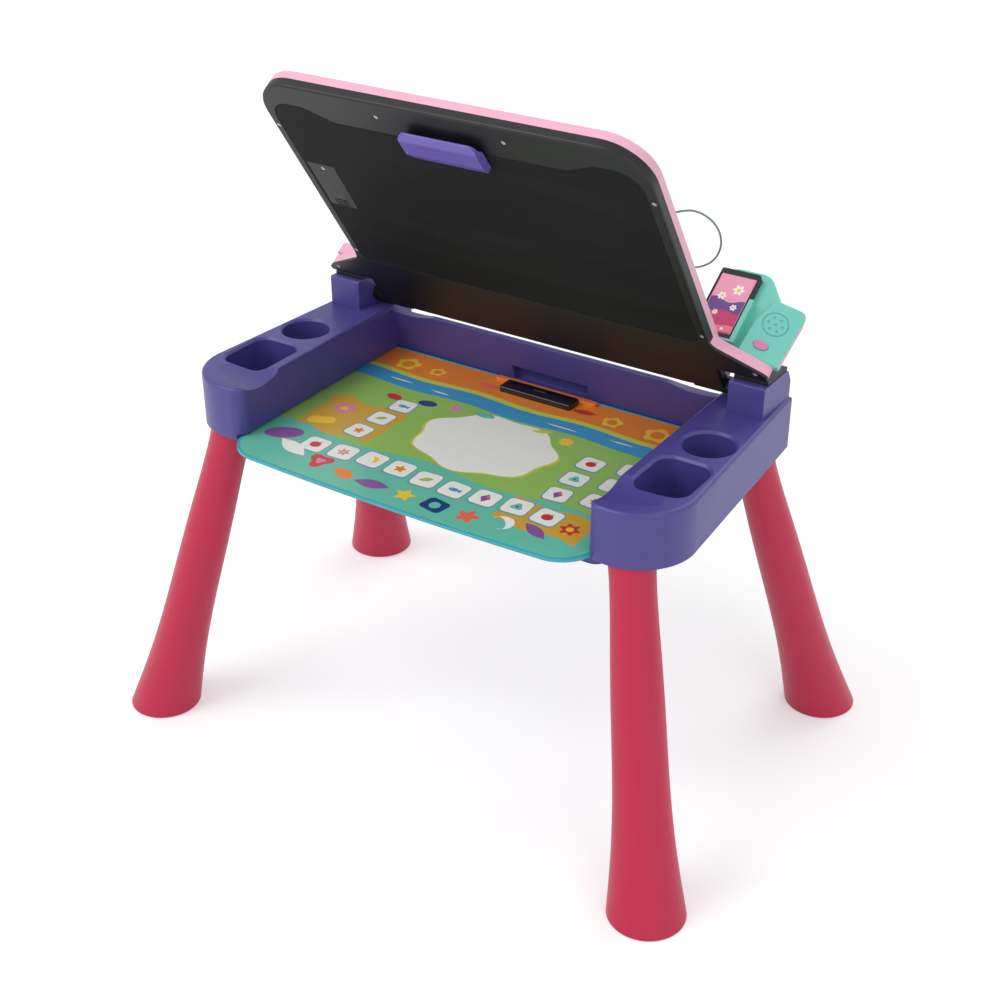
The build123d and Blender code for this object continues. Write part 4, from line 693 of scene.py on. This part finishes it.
class DESK_OT_finishes(bpy.types.Operator):
    """Make every finish and put it on the CAD pieces that keep their own shape."""

    bl_idname = "desk.finishes"
    bl_label = "Finishes"

    def execute(self, context):
        """Builds the shared surface once and gives each finish its own values."""
        colours = context.scene.desk_colours
        group = moulded_group()
        shell_material("Printed film", group, (0.5, 0.5, 0.5), 0.34, coat=0.15, edge_highlight_and_wear=0.0, scuffs=0.04,
                       depth=0.00001, tone=0.05, painted="print")
        shell_material("Cord skin", group, CORD_GREY, 0.5, edge_highlight_and_wear=0.0)
        for name, colour, rough, settings, names in (
                ("Violet moulding", colours.violet, 0.40, {}, VIOLET_NODES),
                ("Crimson moulding", colours.crimson, 0.42, {"tone": 0.10, "scuffs": 0.06}, LEG_NODES),
                ("Pink moulding", colours.pink, 0.42, {"edge_highlight_and_wear": 0.2, "scuffs": 0.05}, PINK_NODES),
                ("Mint moulding", colours.mint, 0.36, {"edge_highlight_and_wear": 0.35, "scuffs": 0.05}, MINT_NODES),
                ("Two-tone pod", colours.mint, 0.36,
                 {"edge_highlight_and_wear": 0.2, "scuffs": 0.05, "side": colours.pink}, ("control_pod",)),
                ("Orchid button", colours.orchid, 0.30, {"coat": 0.2}, ("pod_button",)),
                ("Lilac clip", colours.lilac, 0.36, {}, ("paper_clip",)),
                ("Amber bar", colours.amber, 0.40, {}, ("clip_bar",)),
                ("Satin black", colours.black, 0.46,
                 {"edge_highlight_and_wear": 0.2, "depth": 0.00003, "tone": 0.2}, SATIN_NODES),
                ("Gloss black", colours.black, 0.24,
                 {"coat": 0.3, "edge_highlight_and_wear": 0.25, "depth": 0.00001, "tone": 0.2}, ("page_clip", "phone_case")),
                ("Teal board", colours.teal, 0.38, {}, ("board_tray",)),
                ("Zinc steel", ZINC, 0.30, {"metal": 1.0, "depth": 0.00002}, STEEL_NODES),
                ("Foot rubber", RUBBER, 0.75, {"depth": 0.0001}, RUBBER_NODES),
                ("Green lacquer", LACQUER, 0.35, {}, ("circuit_board",)),
                ("Cell wrap", CELL_WRAP, 0.30, {}, ("batteries",))):
            dress(names, shell_material(name, group, colour, rough, **settings))
        dress(("chalkboard",), chalk_material(colours.slate))
        return {"FINISHED"}


class DESK_OT_sheets(bpy.types.Operator):
    """Cut the printed sheets: the picture page, the sheet on the lid and the phone's label."""

    bl_idname = "desk.sheets"
    bl_label = "Printed sheets"

    def execute(self, context):
        """Each sheet replaces its plain CAD node."""
        sizes = context.scene.desk_sizes
        film = material_named("Printed film")
        on_board = shifted(flat_place, (0, 1, 2), (0, 0, PAGE_BASE))
        page = printed_sheet("picture_page", board_picture(sizes.tile / MM, sizes.tiles), SHEET_THICK,
                             on_board, film, "board")
        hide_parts("activity_page")
        on_lid = shifted(lid_place, (0, 1, 2), (0, 0, SHEET_BASE))
        lid_sheet = printed_sheet("lid_sheet", lid_picture(), SHEET_THICK, on_lid, film, "lid")
        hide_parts("desk_page")
        on_phone = shifted(lid_place, (0, 2, 1), (0, LABEL_FRONT, 0))
        label = printed_sheet("phone_label", phone_picture(), LABEL_THICK, on_phone, film, "phone")
        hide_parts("phone_screen")
        return {"FINISHED"}


class DESK_OT_screws(bpy.types.Operator):
    """Set cross-head screws in the lid and the battery door."""

    bl_idname = "desk.screws"
    bl_label = "Screws"

    def execute(self, context):
        """The lid's screws stand in pairs, one on each side, and the door has one."""
        steel = material_named("Zinc steel")
        spots = LID_SCREWS + tuple((-x, v) for x, v in LID_SCREWS)
        heads = cross_screws("lid_screw_heads", spots, LID_SCREW_TALL, steel)
        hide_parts("lid_screws")
        head = cross_screws("battery_screw_head", (DOOR_SCREW,), DOOR_SCREW_TALL, steel)
        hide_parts("battery_screw")
        return {"FINISHED"}


class DESK_OT_tether(bpy.types.Operator):
    """Run the stylus tether from its grommet to the stylus."""

    bl_idname = "desk.tether"
    bl_label = "Tether"

    def execute(self, context):
        """The CAD route's points are the control points of one smooth spline."""
        points = lid_place(TETHER_ROUTE)
        curve = bpy.data.curves.new("tether", "CURVE")
        curve.dimensions = "3D"
        spline = curve.splines.new("NURBS")
        spline.points.add(len(points) - 1)
        spline.points.foreach_set("co", np.column_stack([points, np.ones(len(points))]).ravel())
        spline.order_u = 3
        spline.use_endpoint_u = True
        spline.resolution_u = 8
        curve.bevel_depth = TETHER_THICK / 2
        curve.bevel_resolution = 4
        curve.use_fill_caps = True
        curve.materials.append(material_named("Cord skin"))
        made = linked("tether", curve)
        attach(made, "lid")
        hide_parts("stylus_tether")
        return {"FINISHED"}


class DESK_OT_stage(bpy.types.Operator):
    """Set the floor, the lamps, the world and the camera."""

    bl_idname = "desk.stage"
    bl_label = "Stage"

    def execute(self, context):
        """A round floor, three large soft lamps, a pale world and the photograph's camera."""
        scene = context.scene
        t = np.linspace(0, 2 * np.pi, FLOOR_SIDES, endpoint=False)
        rim = np.column_stack([np.cos(t), np.sin(t), 0 * t]) * scene.desk_sizes.floor
        mesh = bpy.data.meshes.new("floor")
        mesh.from_pydata(rim.tolist(), [], [list(range(FLOOR_SIDES))])
        mesh.materials.append(floor_material())
        linked("floor", mesh)
        for name, at, wide, power in LAMPS:
            light = bpy.data.lights.new(name, "AREA")
            light.size = wide
            light.energy = power
            aimed(name, light, at, LAMP_AIM)
        world = bpy.data.worlds.new("studio")
        world.use_nodes = True
        tree = world.node_tree
        ray = node(tree, "ShaderNodeLightPath").outputs
        seen = math_node(tree, "MAXIMUM", ray["Is Camera Ray"], ray["Is Transmission Ray"])
        seen = math_node(tree, "MAXIMUM", seen, math_node(tree, "MULTIPLY", ray["Is Glossy Ray"], 0.5))
        strength = math_node(tree, "ADD", WORLD_LIGHT, math_node(tree, "MULTIPLY", seen, WORLD_SEEN))
        tree.links.new(strength, tree.nodes["Background"].inputs["Strength"])
        tree.nodes["Background"].inputs["Color"].default_value = (1.0, 1.0, 1.0, 1.0)
        scene.world = world
        camera = bpy.data.cameras.new("camera")
        camera.lens = CAMERA_LENS
        camera.sensor_width = CAMERA_SENSOR
        scene.camera = aimed("camera", camera, CAMERA_AT, CAMERA_AIM)
        scene.view_settings.view_transform = "Standard"
        return {"FINISHED"}


class DESK_PT_panel(bpy.types.Panel):
    """Sizes, colours and steps of the desk."""

    bl_idname = "DESK_PT_panel"
    bl_label = "Activity desk"
    bl_space_type = "VIEW_3D"
    bl_region_type = "UI"
    bl_category = "Desk"

    def draw(self, context):
        """Lists every property, then a button for each step."""
        layout = self.layout
        for group in (context.scene.desk_colours, context.scene.desk_sizes):
            for name in group.bl_rna.properties.keys():
                if name not in ("rna_type", "name"):
                    layout.prop(group, name)
        for operator in STEPS:
            layout.operator(operator.bl_idname)


STEPS = (DESK_OT_stage, DESK_OT_finishes, DESK_OT_tether, DESK_OT_sheets, DESK_OT_screws)
CLASSES = (DeskColours, DeskSizes, *STEPS, DESK_PT_panel)


def register():
    """Adds the classes and the scene's properties."""
    for made in CLASSES:
        bpy.utils.register_class(made)
    bpy.types.Scene.desk_colours = PointerProperty(type=DeskColours)
    bpy.types.Scene.desk_sizes = PointerProperty(type=DeskSizes)


def unregister():
    """Takes the properties and the classes away again."""
    del bpy.types.Scene.desk_sizes
    del bpy.types.Scene.desk_colours
    for made in reversed(CLASSES):
        bpy.utils.unregister_class(made)


def main():
    """Registers the add-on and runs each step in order."""
    register()
    bpy.ops.desk.stage()
    bpy.ops.desk.finishes()
    bpy.ops.desk.tether()
    bpy.ops.desk.sheets()
    bpy.ops.desk.screws()


if __name__ == "__main__":
    main()
